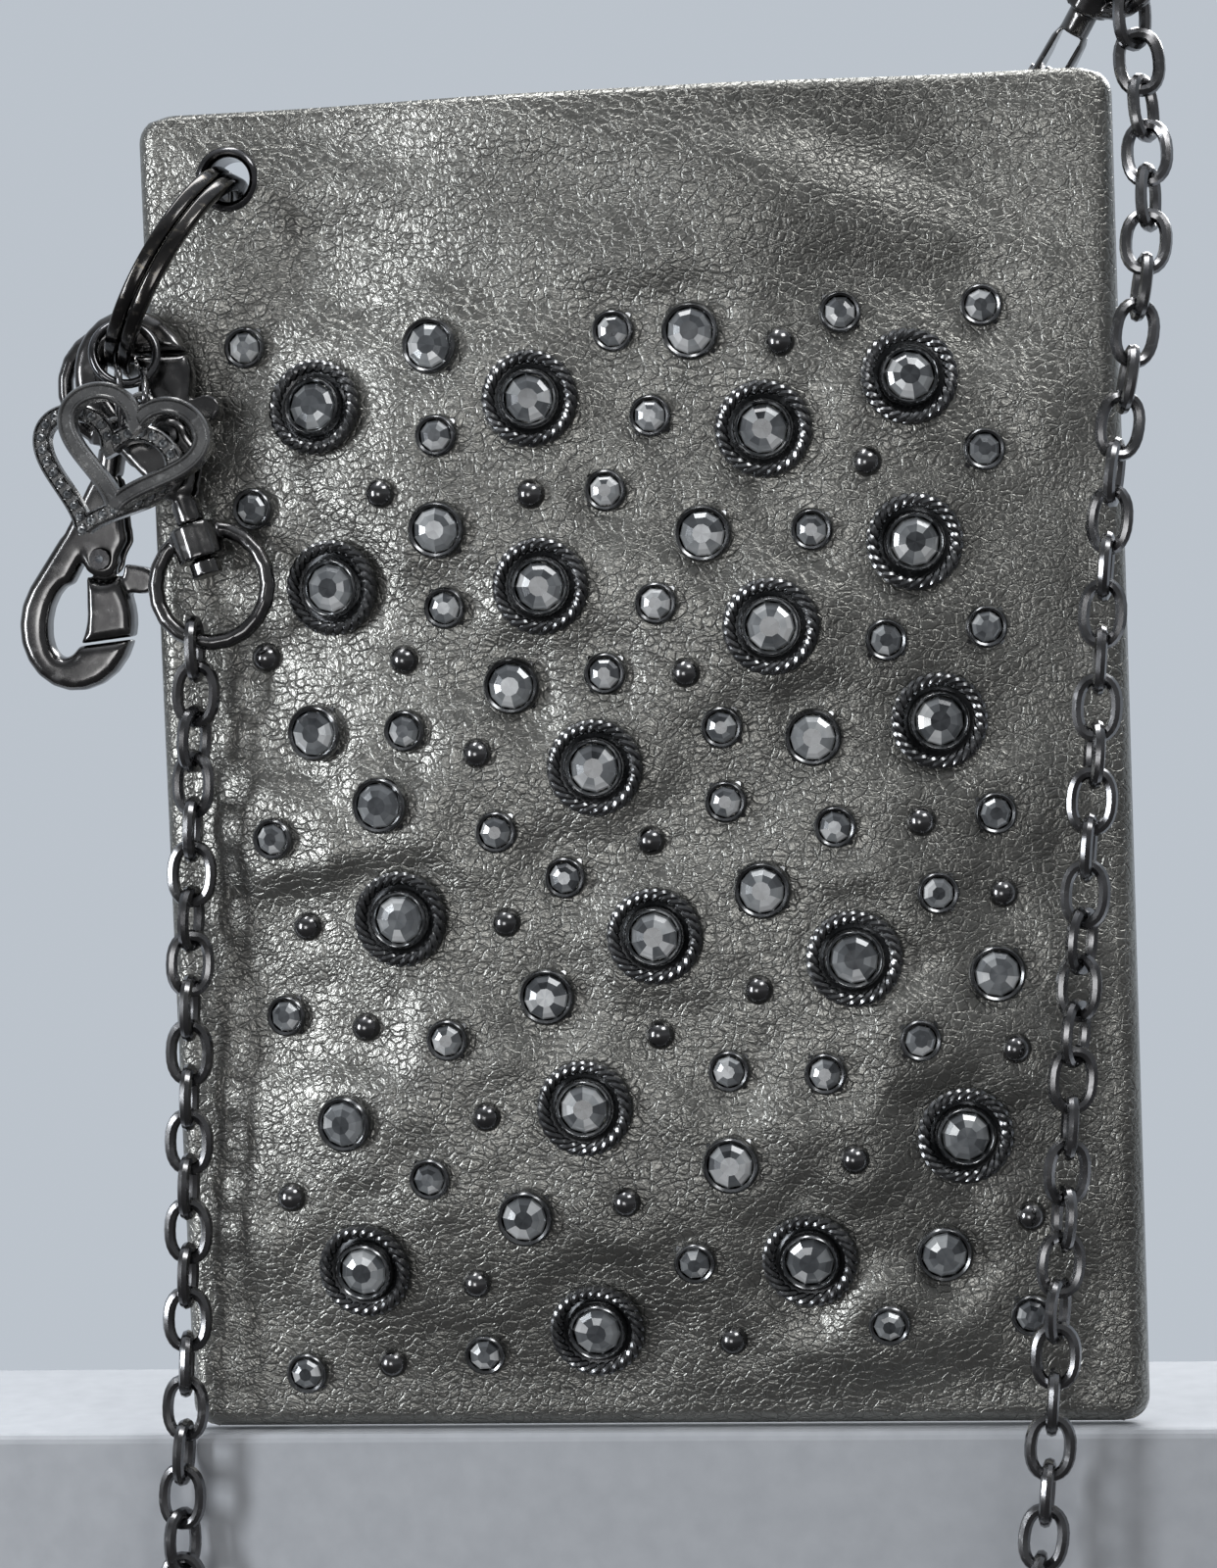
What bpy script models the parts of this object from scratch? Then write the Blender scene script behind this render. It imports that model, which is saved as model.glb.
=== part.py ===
"""Crossbody phone bag: a flat metallic faux-leather pouch covered in set stones and studs.

The pouch stands upright on its bottom edge. The origin is on that edge, at its middle. X runs to the
right and Z up as one looks at the stone-set front, which faces -Y. Lengths are in metres.

A split ring runs through an eyelet in the top left corner. It carries a key clasp, two heart charms
and one end of the chain strap. The strap's other end hooks on a D-ring behind the top right corner.
"""

import math

import bmesh
import bpy
import numpy as np
from mathutils import Matrix, Vector

# Pouch
BAG_WIDTH = 0.130
BAG_HEIGHT = 0.178
CORNER_RADIUS = 0.0035
SEAM_HALF_DEPTH = 0.0022
BELLY_DEPTH = 0.0044
SEAM_BACK = 0.0006
LOW_MARGIN = 0.004
MOUTH_MARGIN = 0.018
CROWN_HALF_WIDTH = 0.011
SIDE_RAMP = BAG_WIDTH / 2 - MOUTH_MARGIN - CROWN_HALF_WIDTH
BOTTOM_RAMP = 0.034
MARGIN_CHANGE_DROP = 0.050
MARGIN_CHANGE_SPAN = 0.024
LEATHER = 0.0008
STIFFENER = 0.0006
STIFFENER_INSET = 0.0012
STIFFENER_DROP = 0.0015
LINING = 0.0003
LINING_INSET = 0.0034
LINING_DROP = 0.0007
GAP = 0.0003
OVERRUN = 0.004

# Magnetic snap inside the mouth
SNAP_RADIUS = 0.0065
SNAP_THICKNESS = 0.0012
SNAP_DROP = 0.014
SNAP_STUD_RADIUS = 0.0022
SNAP_STUD_HEIGHT = 0.0006

# Eyelet in the top left corner
EYELET_INSET = 0.0126
EYELET_DROP = 0.0089
EYELET_FLANGE_RADIUS = 0.0044
EYELET_BORE_RADIUS = 0.00295
EYELET_WALL = 0.0005
EYELET_LIP = 0.0010
EYELET_REAR_LIP = 0.0006
WASHER_RADIUS = 0.0047
WASHER_THICKNESS = 0.0007

# Split ring: it leans down to the left from the eyelet, and a little forwards
RING_RADIUS = 0.0145
RING_COIL = 0.0019
RING_COIL_GAP = 0.0002
RING_LEAN = math.radians(31.7)
RING_FORWARD = math.radians(8.0)
RING_CROSSOVER = math.radians(20.0)
RING_CROSSOVER_PLACE = math.radians(270.0)
RING_STEPS = 50

# Swivel clasps: sizes that the key clasp and the strap's two clasps share
CLASP_THICKNESS = 0.0046
CLASP_EDGE = 0.0012
EASED_SHARE = 0.3
CLAW_HALF_WIDTH = 0.00805
CLAW_HALF_HEIGHT = 0.0092
CLAW_OFFSET = 0.00125
HOLE_HALF_WIDTH = 0.0026
HOLE_HALF_HEIGHT = 0.0051
HOLE_OFFSET = 0.0025
CLAW_BAND = 0.0043
JOINT_HOLE_ANGLE = 38.0
JOINT_CLAW_ANGLE = 5.0
GATE_HOLE_ANGLE = -28.0
GATE_FOOT_ANGLE = -40.0
SPINE_ANGLE = 205.0
HOLE_FLOOR_ANGLE = 265.0
PIVOT_ACROSS = 0.0010
PIVOT_DOWN = 0.0185
CHEEK_RADIUS = 0.0029
SLOT_WIDTH = 0.0029
THROUGH_SLOT_DROP = 0.0022
FOOT_RADIUS = 0.0022
FOOT_THICKNESS = 0.0014
FOOT_RISE = 0.0044
PAD_REACH = 0.0088
PAD_RISE = 0.0020
PAD_HALF_HEIGHT = 0.00185
PAD_THICKNESS = 0.0030
PAD_ROOT = 0.0032
RIVET_RADIUS = 0.0009
RIVET_BORE_RADIUS = 0.00055
RIVET_HEAD_RADIUS = 0.0014
RIVET_HEAD_HEIGHT = 0.0004
SPRING_RADIUS = 0.0019
SPRING_THICKNESS = 0.0006
SHOULDER_LEFT = 0.0048
SHOULDER_RIGHT = 0.0046
SHOULDER_DROP = 0.0030
NECK_RADIUS = 0.0020
NECK_LENGTH = 0.0034
PIN_RADIUS = 0.0011
PIN_HEAD_RADIUS = 0.00215
PIN_HEAD_HEIGHT = 0.0020
PIN_SOCKET_DEPTH = 0.0026
EYE_OUTER_RADIUS = 0.0088
EYE_WIRE_RADIUS = 0.00115
EYE_DROP = 0.0060
EYE_STEPS = 20
BOSS_RADIUS = 0.00335
BOSS_HEIGHT = 0.0047
BOSS_BORE_RADIUS = 0.0014
WIRE_DROP = 0.0070
D_WIRE_DROP = 0.0066
D_WIRE_SIDE = -0.0032

# Where the clasps hang: lengths from the claw's end to the boss's middle, and their slopes
KEY_CLASP_LENGTH = 0.0360
STRAP_CLASP_LENGTH = 0.0330
KEY_HANG_ANGLE = math.radians(-27.0)
KEY_LEAN = math.radians(11.0)
KEY_EYE_YAW = math.radians(20.0)
KEY_EYE_SIDE = -0.0024
KEY_EYE_SAG = -0.0028
LEFT_HANG_ANGLE = math.radians(4.7)
LEFT_LEAN = math.radians(17.0)
LEFT_FORWARD = math.radians(5.0)
RIGHT_WIRE_INSET = 0.0150
RIGHT_WIRE_BACK = 0.0119
RIGHT_WIRE_DROP = 0.0106
RIGHT_LEAN = math.radians(32.4)
RIGHT_FORWARD = math.radians(25.0)

# D-ring and its tab behind the top right corner
D_WIRE_RADIUS = 0.00115
D_HALF_WIDTH = 0.00765
D_HEIGHT = 0.0111
D_BAR_DEPTH = 0.0054
D_CORNER = 0.0010
TAB_HALF_WIDTH = 0.0042
TAB_LENGTH = 0.0150
TAB_LEATHER = 0.0010
TAB_CLEARANCE = 0.0007
TAB_ROW_SHARES = (0.3, 0.55, 0.8, 1.0)

# Heart charms; the hearts' places are counted from the eyelet's middle
CHARM_HANG_ANGLE = math.radians(28.0)
CHARM_RING_RADIUS = 0.0042
CHARM_WIRE_RADIUS = 0.00065
CHARM_SAG = 0.0008
CHARM_SIDE = 0.0006
CHARM_LINK_WIRE = 0.00045
CHARM_LINK_WIDTH = 0.0037
CHARM_LINK_SLACK = 0.0006
LUG_RADIUS = 0.0015
LUG_WIRE_RADIUS = 0.0005
HEART_WIDTH = 0.0210
HEART_HEIGHT = 0.0170
HEART_BAND = 0.0023
HEART_STEPS = 26
PLAIN_THICKNESS = 0.0026
PLAIN_OFFSET = (-0.0116, -0.0160, -0.0364)
PLAIN_LEAN = math.radians(15.0)
PLAIN_FORWARD = math.radians(8.0)
PLAIN_LINK_ANGLE = math.radians(30.0)
PAVE_THICKNESS = 0.0022
PAVE_OFFSET = (-0.0168, -0.0114, -0.0392)
PAVE_LEAN = math.radians(20.0)
PAVE_FORWARD = math.radians(5.0)
PAVE_LINK_ANGLE = math.radians(-15.0)
NOTCH_HALF_WIDTH = 0.0005

# Chain strap
CHAIN_WIDTH = 0.0068
LINK_LENGTH = 0.0092
LINK_WIRE_RADIUS = 0.000825
LEFT_LINK_SIDE = -0.0025
RIGHT_LINK_SIDE = 0.0024
LEFT_STRAND = (
    (-0.0582, -0.0086, 0.1017), (-0.0589, -0.0083, 0.0935), (-0.0599, -0.0079, 0.0790),
    (-0.0610, -0.0078, 0.0619), (-0.0620, -0.0078, 0.0421), (-0.0634, -0.0078, 0.0155),
    (-0.0642, -0.0080, 0.0030), (-0.0652, -0.0084, -0.0130), (-0.0640, -0.0092, -0.0270),
    (-0.0560, -0.0104, -0.0400), (-0.0410, -0.0116, -0.0490), (-0.0290, -0.0124, -0.0590),
    (-0.0250, -0.0125, -0.0712), (-0.0250, -0.0125, -0.0780),
)
RIGHT_STRAND = (
    (0.0686, -0.0010, 0.1793), (0.0691, -0.0019, 0.1715), (0.0694, -0.0038, 0.1630),
    (0.0690, -0.0059, 0.1560), (0.0680, -0.0078, 0.1480), (0.0664, -0.0090, 0.1390),
    (0.0642, -0.0099, 0.1268), (0.0620, -0.0104, 0.1075), (0.0600, -0.0106, 0.0845),
    (0.0577, -0.0108, 0.0610), (0.0552, -0.0110, 0.0340), (0.0535, -0.0110, 0.0160),
    (0.0520, -0.0110, -0.0016), (0.0500, -0.0118, -0.0170), (0.0440, -0.0185, -0.0310),
    (0.0330, -0.0265, -0.0420), (0.0190, -0.0325, -0.0500), (0.0108, -0.0352, -0.0590),
    (0.0090, -0.0356, -0.0712), (0.0090, -0.0356, -0.0780),
)
STRAND_STEP = 0.0150
HANK_LOOPS = 3
HANK_POINTS_PER_LOOP = 24
HANK_HALF_WIDTH = 0.0170
HANK_WAIST = 0.0090
HANK_RUN = 0.0760
TIE_WALL = 0.0012
TIE_HEIGHT = 0.0080

# Set stones and studs: radii of the turned settings and heights above the leather
ROPE_RADIUS = 0.0065
ROPE_BEAD_SHARES = (1.0, 0.86, 0.68, 0.60, 0.48, 0.17)
ROPE_RISE_SHARES = (0.0, 0.64, 0.42, 0.76, 0.80, 1.0)
ROPE_HEIGHT = 0.0027
ROPE_SIDES = 9
ROPE_SEAT_GAP = 0.0004
SMALL_SIDES = 6
SINK = 0.0004
MEDIUM_RADIUS = 0.00385
MEDIUM_HEIGHT = 0.0024
MEDIUM_SHARES = ((1.0, 0.0), (1.0, 0.55), (0.78, 0.75), (0.28, 1.0))
STONE_RADIUS = 0.00285
STONE_HEIGHT = 0.0020
STONE_SHARES = ((1.0, 0.0), (1.0, 0.55), (0.35, 1.0))
DOME_RADIUS = 0.00205
DOME_HEIGHT = 0.0020
DOME_SHARES = ((1.0, 0.0), (0.87, 0.62), (0.42, 0.96))

# Corners of the front (top left, top right, bottom right, bottom left) and the centres of its
# studs, in pixels of a 1242 x 1600 picture
CORNER_PIXELS = ((140, 118), (1128, 75), (1183, 1453), (197, 1450))
ROPE_PIXELS = (
    (330, 412), (549, 405), (783, 437), (927, 387), (348, 592), (561, 592),
    (793, 634), (934, 551), (616, 774), (960, 731), (420, 925), (677, 944),
    (878, 969), (607, 1117), (990, 1151), (382, 1282), (617, 1346), (835, 1274),
)
MEDIUM_PIXELS = (
    (448, 352), (709, 339), (456, 535), (723, 541), (530, 692), (330, 738), (835, 746),
    (400, 810), (785, 899), (567, 1005), (1021, 987), (363, 1132), (755, 1176),
    (546, 1228), (970, 1271),
)
STONE_PIXELS = (
    (254, 350), (631, 338), (857, 322), (999, 314), (455, 441), (669, 423), (1003, 459),
    (265, 512), (625, 497), (832, 538), (463, 613), (677, 610), (1007, 637), (907, 649),
    (625, 680), (423, 736), (743, 735), (747, 810), (516, 838), (289, 844), (858, 836),
    (1018, 825), (585, 885), (961, 904), (299, 1025), (468, 1047), (945, 1052), (752, 1082),
    (850, 1085), (450, 1188), (718, 1276), (916, 1341), (501, 1372), (318, 1391), (1060, 1337),
)
DOME_PIXELS = (
    (798, 350), (886, 470), (397, 498), (549, 500), (276, 662), (420, 665), (706, 680),
    (496, 759), (944, 832), (671, 849), (320, 934), (525, 930), (1027, 906), (381, 1036),
    (781, 1000), (681, 1045), (1042, 1064), (506, 1126), (880, 1172), (304, 1209),
    (648, 1214), (1058, 1236), (494, 1298), (755, 1360), (405, 1382),
)

# Rows and columns of the pouch's faceted faces, as shares of the ramps and heights they cross
CORNER_ROW_SHARES = (0.0, 0.3, 1.0)
RAMP_SHARES = (0.3, 0.66, 1.0)
MARGIN_ROW_SHARES = (0.0, 0.35, 0.65, 1.0)


def material(name, colour, roughness, metallic):
    made = bpy.data.materials.new(name)
    made.use_nodes = True
    shader = made.node_tree.nodes["Principled BSDF"]
    shader.inputs["Base Color"].default_value = (*colour, 1.0)
    shader.inputs["Roughness"].default_value = roughness
    shader.inputs["Metallic"].default_value = metallic
    made.diffuse_color = (*colour, 1.0)
    return made


def mesh_object(name, points, faces, finish, sharp=math.radians(35)):
    """One object from points and faces, with its faces turned outwards and shaded smooth."""
    mesh = bpy.data.meshes.new(name)
    mesh.from_pydata([tuple(map(float, p)) for p in points], [], [tuple(map(int, f)) for f in faces])
    work = bmesh.new()
    work.from_mesh(mesh)
    bmesh.ops.recalc_face_normals(work, faces=work.faces)
    work.to_mesh(mesh)
    work.free()
    mesh.shade_smooth()
    mesh.set_sharp_from_angle(angle=sharp)
    mesh.materials.append(finish)
    made = bpy.data.objects.new(name, mesh)
    bpy.context.scene.collection.objects.link(made)
    return made


def helper(made):
    """Marks an object that only cuts or joins another."""
    made.hide_render = True
    made.display_type = "WIRE"
    return made


def boolean(target, tool, operation):
    step = target.modifiers.new(f"{operation.lower()} {tool.name}", "BOOLEAN")
    step.operation = operation
    step.object = helper(tool)
    step.solver = "EXACT"
    return target


def empty(name, place, parent=None):
    made = bpy.data.objects.new(name, None)
    bpy.context.scene.collection.objects.link(made)
    made.parent = parent
    made.matrix_basis = place if isinstance(place, Matrix) else Matrix.Translation(place)
    return made


def frame_of(origin, across, up):
    """The frame with +X nearest to across, +Z along up and its origin at origin."""
    z = Vector(up).normalized()
    y = z.cross(Vector(across)).normalized()
    x = y.cross(z)
    return Matrix.Translation(origin) @ Matrix((x, y, z)).transposed().to_4x4()


def loft(rings, around=True, along=False, caps=True):
    """Points and faces of a skin over rings of points; along closes the last ring to the first."""
    rings = np.asarray(rings, float)
    count, size = rings.shape[:2]
    faces = []
    for i in range(count if along else count - 1):
        j = (i + 1) % count
        for k in range(size if around else size - 1):
            m = (k + 1) % size
            faces.append((i * size + k, j * size + k, j * size + m, i * size + m))
    if caps and not along:
        faces.append(tuple(range(size)))
        faces.append(tuple(range((count - 1) * size, count * size)))
    return rings.reshape(-1, 3), faces


def turned(profile, sides):
    """A solid turned about Z from (radius, height) points that start and end on the axis."""
    angles = np.arange(sides) * 2 * math.pi / sides
    rings = [
        np.c_[r * np.cos(angles), r * np.sin(angles), np.full(sides, h)] for r, h in profile[1:-1]
    ]
    points, faces = loft(rings, caps=False)
    bottom, top = len(points), len(points) + 1
    last = (len(rings) - 1) * sides
    points = np.vstack([points, (0, 0, profile[0][1]), (0, 0, profile[-1][1])])
    for k in range(sides):
        m = (k + 1) % sides
        faces.append((bottom, k, m))
        faces.append((top, last + m, last + k))
    return points, faces


def hollow_turned(profile, sides):
    """A ring turned about Z from a closed loop of (radius, height) points."""
    angles = np.arange(sides) * 2 * math.pi / sides
    rings = [[(r * math.cos(a), r * math.sin(a), h) for r, h in profile] for a in angles]
    return loft(rings, along=True)


def torus(radius, wire, steps, sides):
    """A closed ring of round wire about Z."""
    loop = [
        (radius + wire * math.cos(t), wire * math.sin(t))
        for t in np.arange(sides) * 2 * math.pi / sides
    ]
    return hollow_turned(loop, steps)


def plate(outline, half_thickness):
    """An outline of (x, z) points as a slab across Y."""
    rings = [[(x, y, z) for x, z in outline] for y in (-half_thickness, half_thickness)]
    return loft(rings)


def inset_outline(outline, by):
    """An outline moved inwards by a width, each corner along its bisector."""
    points = np.asarray(outline, float)
    ahead = np.roll(points, -1, 0) - points
    ahead /= np.linalg.norm(ahead, axis=1)[:, None]
    area = (points[:, 0] * np.roll(points[:, 1], -1) - np.roll(points[:, 0], -1) * points[:, 1]).sum()
    inward = np.c_[-ahead[:, 1], ahead[:, 0]] * math.copysign(1, area)
    bisector = inward + np.roll(inward, 1, 0)
    bisector /= np.linalg.norm(bisector, axis=1)[:, None]
    lean = np.maximum((bisector * inward).sum(1), 0.6)
    return points + bisector * (by / lean)[:, None]


def rounded_plate(outline, half_thickness, edge):
    """A slab across Y whose two faces are drawn in from its outline, like rounded bar."""
    drawn_in = inset_outline(outline, edge)
    eased = inset_outline(outline, edge * EASED_SHARE)
    steps = ((drawn_in, 1.0, 0.0), (eased, 1.0, -EASED_SHARE), (np.asarray(outline), 1.0, -1.0))
    low = [(shape, -half_thickness - lift * edge) for shape, _, lift in steps]
    rings = [[(x, y, z) for x, z in shape] for shape, y in low + [(s, -y) for s, y in reversed(low)]]
    return loft(rings)


def arc(centre, half_x, half_z, start, end, steps):
    """Points of an ellipse's arc from start to end, in degrees, both ends included."""
    return [
        (centre[0] + half_x * math.cos(t), centre[1] + half_z * math.sin(t))
        for t in np.radians(np.linspace(start, end, steps + 1))
    ]


def wire_rings(points, radius, sides, closed=False):
    """Rings of round wire along points, turned as little as possible from one to the next."""
    points = np.asarray(points, float)
    ahead = np.roll(points, -1, 0) - np.roll(points, 1, 0)
    if not closed:
        ahead[0] = points[1] - points[0]
        ahead[-1] = points[-1] - points[-2]
    ahead /= np.linalg.norm(ahead, axis=1)[:, None]
    side = np.cross(ahead[0], (0.0, 0.0, 1.0) if abs(ahead[0][2]) < 0.9 else (0.0, 1.0, 0.0))
    rings = []
    for point, along in zip(points, ahead):
        side = side - along * side.dot(along)
        side /= np.linalg.norm(side)
        other = np.cross(along, side)
        angles = np.arange(sides) * 2 * math.pi / sides
        rings.append(point + radius * (np.outer(np.cos(angles), side) + np.outer(np.sin(angles), other)))
    return rings


def smooth_step(t):
    t = min(max(t, 0.0), 1.0)
    return t * t * (3 - 2 * t)


def ramp(t):
    """A smooth step made of the few straight facets that the pouch's rows and columns give it."""
    places = (0.0, *RAMP_SHARES)
    return float(np.interp(t, places, [smooth_step(place) for place in places]))


# Pouch surface: margins along the sides are pressed flat, wider at the mouth's corners, and the
# faces belly out between them


def margin_at(z):
    rise = (z - (BAG_HEIGHT - MARGIN_CHANGE_DROP)) / MARGIN_CHANGE_SPAN
    return LOW_MARGIN + (MOUTH_MARGIN - LOW_MARGIN) * smooth_step(rise)


def half_depth(x, z):
    """How far the pouch's outer face stands from its middle plane at a place of the face."""
    inward = BAG_WIDTH / 2 - abs(x) - margin_at(z)
    return SEAM_HALF_DEPTH + BELLY_DEPTH * ramp(inward / SIDE_RAMP) * ramp(z / BOTTOM_RAMP)


def half_width(z, inset):
    """Half the outline's width at a height, its corners rounded."""
    low = CORNER_RADIUS - min(CORNER_RADIUS, z - inset, BAG_HEIGHT - z)
    cut = CORNER_RADIUS - math.sqrt(max(CORNER_RADIUS**2 - low**2, 0.0))
    return BAG_WIDTH / 2 - inset - cut


def half_pouch(name, finish, side, offset, inset, rim, top):
    """One face of the pouch as a solid from its outer skin, offset inwards, to the plane y = rim."""
    change = BAG_HEIGHT - MARGIN_CHANGE_DROP
    rows = [inset + CORNER_RADIUS * s for s in CORNER_ROW_SHARES]
    rows += [BOTTOM_RAMP * s for s in RAMP_SHARES]
    rows += [change + MARGIN_CHANGE_SPAN * s for s in MARGIN_ROW_SHARES]
    rows += [BAG_HEIGHT - CORNER_RADIUS * s for s in reversed(CORNER_ROW_SHARES[1:])]
    rows = [z for z in rows if z < top] + [top]
    rings = []
    for z in rows:
        edge = half_width(min(z, BAG_HEIGHT), inset)
        margin = BAG_WIDTH / 2 - margin_at(z)
        left = [-edge, -min(margin, edge - GAP)] + [-margin + SIDE_RAMP * s for s in RAMP_SHARES]
        across = left + [0.0] + [-x for x in reversed(left)]
        skin = [(x, side * (half_depth(x, z) - offset), z) for x in across]
        rings.append(skin + [(edge, rim, z), (-edge, rim, z)])
    points, faces = loft(rings)
    size = len(rings[0])
    split = []
    for face in faces:
        on_skin = len(face) == 4 and face[0] % size < size - 3
        split += [face[:3], (face[0], *face[2:])] if on_skin else [face]
    return mesh_object(name, points, split, finish)


def round_cutter(name, radius, x, z, low, high, sides=16):
    """A cylinder along Y that cuts a hole."""
    points, faces = turned(((0, low), (radius, low), (radius, high), (0, high)), sides)
    points = np.c_[points[:, 0] + x, -points[:, 2], points[:, 1] + z]
    return mesh_object(name, points, faces, LEATHER_FINISH)


EYELET_X = -BAG_WIDTH / 2 + EYELET_INSET
EYELET_Z = BAG_HEIGHT - EYELET_DROP
BARREL_RADIUS = EYELET_BORE_RADIUS + EYELET_WALL


def eyelet_hole(target):
    """Cuts the eyelet's hole through a layer of the pouch."""
    low, high = -SEAM_HALF_DEPTH - OVERRUN, SEAM_HALF_DEPTH + OVERRUN
    cutter = round_cutter(f"{target.name}_hole", BARREL_RADIUS + GAP, EYELET_X, EYELET_Z, low, high)
    return boolean(target, cutter, "DIFFERENCE")


def plane_share(pixel):
    """Where a pixel of the front lies, as shares of its width and height: the projective map
    that takes the four corner pixels to the corners of the rectangle."""
    square = ((0.0, 1.0), (1.0, 1.0), (1.0, 0.0), (0.0, 0.0))
    rows, values = [], []
    for (px, py), (u, v) in zip(CORNER_PIXELS, square):
        rows.append((px, py, 1, 0, 0, 0, -u * px, -u * py))
        rows.append((0, 0, 0, px, py, 1, -v * px, -v * py))
        values += [u, v]
    a, b, c, d, e, f, g, h = np.linalg.solve(np.array(rows, float), np.array(values, float))
    px, py = pixel
    w = g * px + h * py + 1
    return (a * px + b * py + c) / w, (d * px + e * py + f) / w


def stud_frame(pixel):
    """The frame of a stud on the front leather: +Z out of the leather, -Y ahead of the bag."""
    across, up = plane_share(pixel)
    x, z = (across - 0.5) * BAG_WIDTH, up * BAG_HEIGHT
    step = GAP
    slope_x = (half_depth(x + step, z) - half_depth(x - step, z)) / (2 * step)
    slope_z = (half_depth(x, z + step) - half_depth(x, z - step)) / (2 * step)
    out = Vector((-slope_x, -1.0, -slope_z))
    return frame_of((x, -half_depth(x, z), z), (1, 0, 0), out)


def joined_studs(name, pixels, radius, height, shares, finish):
    """Settings of one size as one helper that is joined to the leather."""
    profile = [(0, -SINK)] + [(radius * r, height * h if h else -SINK) for r, h in shares]
    profile.append((0, height * shares[-1][1]))
    base, base_faces = turned(profile, SMALL_SIDES)
    points, faces = [], []
    for pixel in pixels:
        place = np.array(stud_frame(pixel))
        faces += [tuple(i + len(points) for i in face) for face in base_faces]
        points += list(base @ place[:3, :3].T + place[:3, 3])
    return mesh_object(name, points, faces, finish)


def build_pouch():
    rim_front, rim_back = SEAM_BACK - GAP / 2, SEAM_BACK + GAP / 2
    above = BAG_HEIGHT + OVERRUN

    front = half_pouch("front_leather", LEATHER_FINISH, -1, 0.0, 0.0, rim_front, BAG_HEIGHT)
    hollow = half_pouch("front_hollow", LEATHER_FINISH, -1, LEATHER, LEATHER, rim_front + OVERRUN, above)
    boolean(front, hollow, "DIFFERENCE")
    eyelet_hole(front)
    medium = joined_studs(
        "medium_settings", MEDIUM_PIXELS, MEDIUM_RADIUS, MEDIUM_HEIGHT, MEDIUM_SHARES, STONE_FINISH
    )
    stones = joined_studs(
        "small_settings", STONE_PIXELS, STONE_RADIUS, STONE_HEIGHT, STONE_SHARES, STONE_FINISH
    )
    domes = joined_studs("dome_studs", DOME_PIXELS, DOME_RADIUS, DOME_HEIGHT, DOME_SHARES, DARK_METAL)
    for studs in (medium, stones, domes):
        boolean(front, studs, "UNION")

    back = half_pouch("back_leather", LEATHER_FINISH, 1, 0.0, 0.0, rim_back, BAG_HEIGHT)
    hollow = half_pouch("back_hollow", LEATHER_FINISH, 1, LEATHER, LEATHER, rim_back - OVERRUN, above)
    boolean(back, hollow, "DIFFERENCE")
    eyelet_hole(back)

    outside = LEATHER + GAP
    board_top = BAG_HEIGHT - STIFFENER_DROP
    board = half_pouch(
        "front_stiffener", BOARD_FINISH, -1, outside, STIFFENER_INSET, -GAP, board_top
    )
    hollow = half_pouch(
        "stiffener_hollow", BOARD_FINISH, -1, outside + STIFFENER, STIFFENER_INSET - GAP / 2, OVERRUN, above
    )
    boolean(board, hollow, "DIFFERENCE")
    eyelet_hole(board)

    lining_front = outside + STIFFENER + GAP
    lining_top = BAG_HEIGHT - LINING_DROP
    lining = half_pouch(
        "lining", LINING_FINISH, -1, lining_front, LINING_INSET, GAP, lining_top
    )
    rear = half_pouch("lining_rear", LINING_FINISH, 1, outside, LINING_INSET, 0.0, lining_top)
    boolean(lining, rear, "UNION")
    inner = LINING_INSET + LINING
    hollow = half_pouch("lining_hollow", LINING_FINISH, -1, lining_front + LINING, inner, GAP, above)
    rear = half_pouch("lining_rear_hollow", LINING_FINISH, 1, outside + LINING, inner, 0.0, above)
    boolean(lining, hollow, "DIFFERENCE")
    boolean(lining, rear, "DIFFERENCE")
    eyelet_hole(lining)
    return lining_front + LINING, outside + LINING


def build_snap(front_offset, back_offset):
    """Two magnet discs on the lining, face to face across the mouth."""
    z = BAG_HEIGHT - SNAP_DROP
    for name, side, offset in (("snap_front", -1, front_offset), ("snap_back", 1, back_offset)):
        seat = half_depth(0, z) - offset - GAP
        face = seat - SNAP_THICKNESS
        tip = face - SNAP_STUD_HEIGHT
        profile = (
            (0, tip), (SNAP_STUD_RADIUS, tip), (SNAP_STUD_RADIUS, face),
            (SNAP_RADIUS, face), (SNAP_RADIUS, seat), (0, seat),
        )
        made = mesh_object(name, *turned(profile, 14), DARK_METAL)
        made.matrix_world = frame_of((0, 0, z), (1, 0, 0), (0, side, 0))


def build_eyelet():
    """A spool with a rolled front flange, its barrel through the pouch, and a washer behind."""
    face = SEAM_HALF_DEPTH + GAP
    washer_back = face + WASHER_THICKNESS
    rear = washer_back + GAP
    bore, barrel = EYELET_BORE_RADIUS, BARREL_RADIUS
    rolled = (EYELET_FLANGE_RADIUS + barrel) / 2
    profile = (
        (bore, -rear - EYELET_REAR_LIP), (barrel + EYELET_REAR_LIP, -rear - EYELET_REAR_LIP),
        (barrel + EYELET_REAR_LIP, -rear), (barrel, -rear), (barrel, face),
        (EYELET_FLANGE_RADIUS, face), (EYELET_FLANGE_RADIUS, face + EYELET_LIP / 2),
        (rolled, face + EYELET_LIP), (bore, face + EYELET_LIP / 2),
    )
    made = mesh_object("eyelet", *hollow_turned(profile, 16), DARK_METAL)
    made.matrix_world = frame_of((EYELET_X, 0, EYELET_Z), (1, 0, 0), (0, -1, 0))
    hole = barrel + GAP
    profile = ((hole, -washer_back), (WASHER_RADIUS, -washer_back), (WASHER_RADIUS, -face), (hole, -face))
    made = mesh_object("eyelet_washer", *hollow_turned(profile, 16), DARK_METAL)
    made.matrix_world = frame_of((EYELET_X, 0, EYELET_Z), (1, 0, 0), (0, -1, 0))


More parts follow.
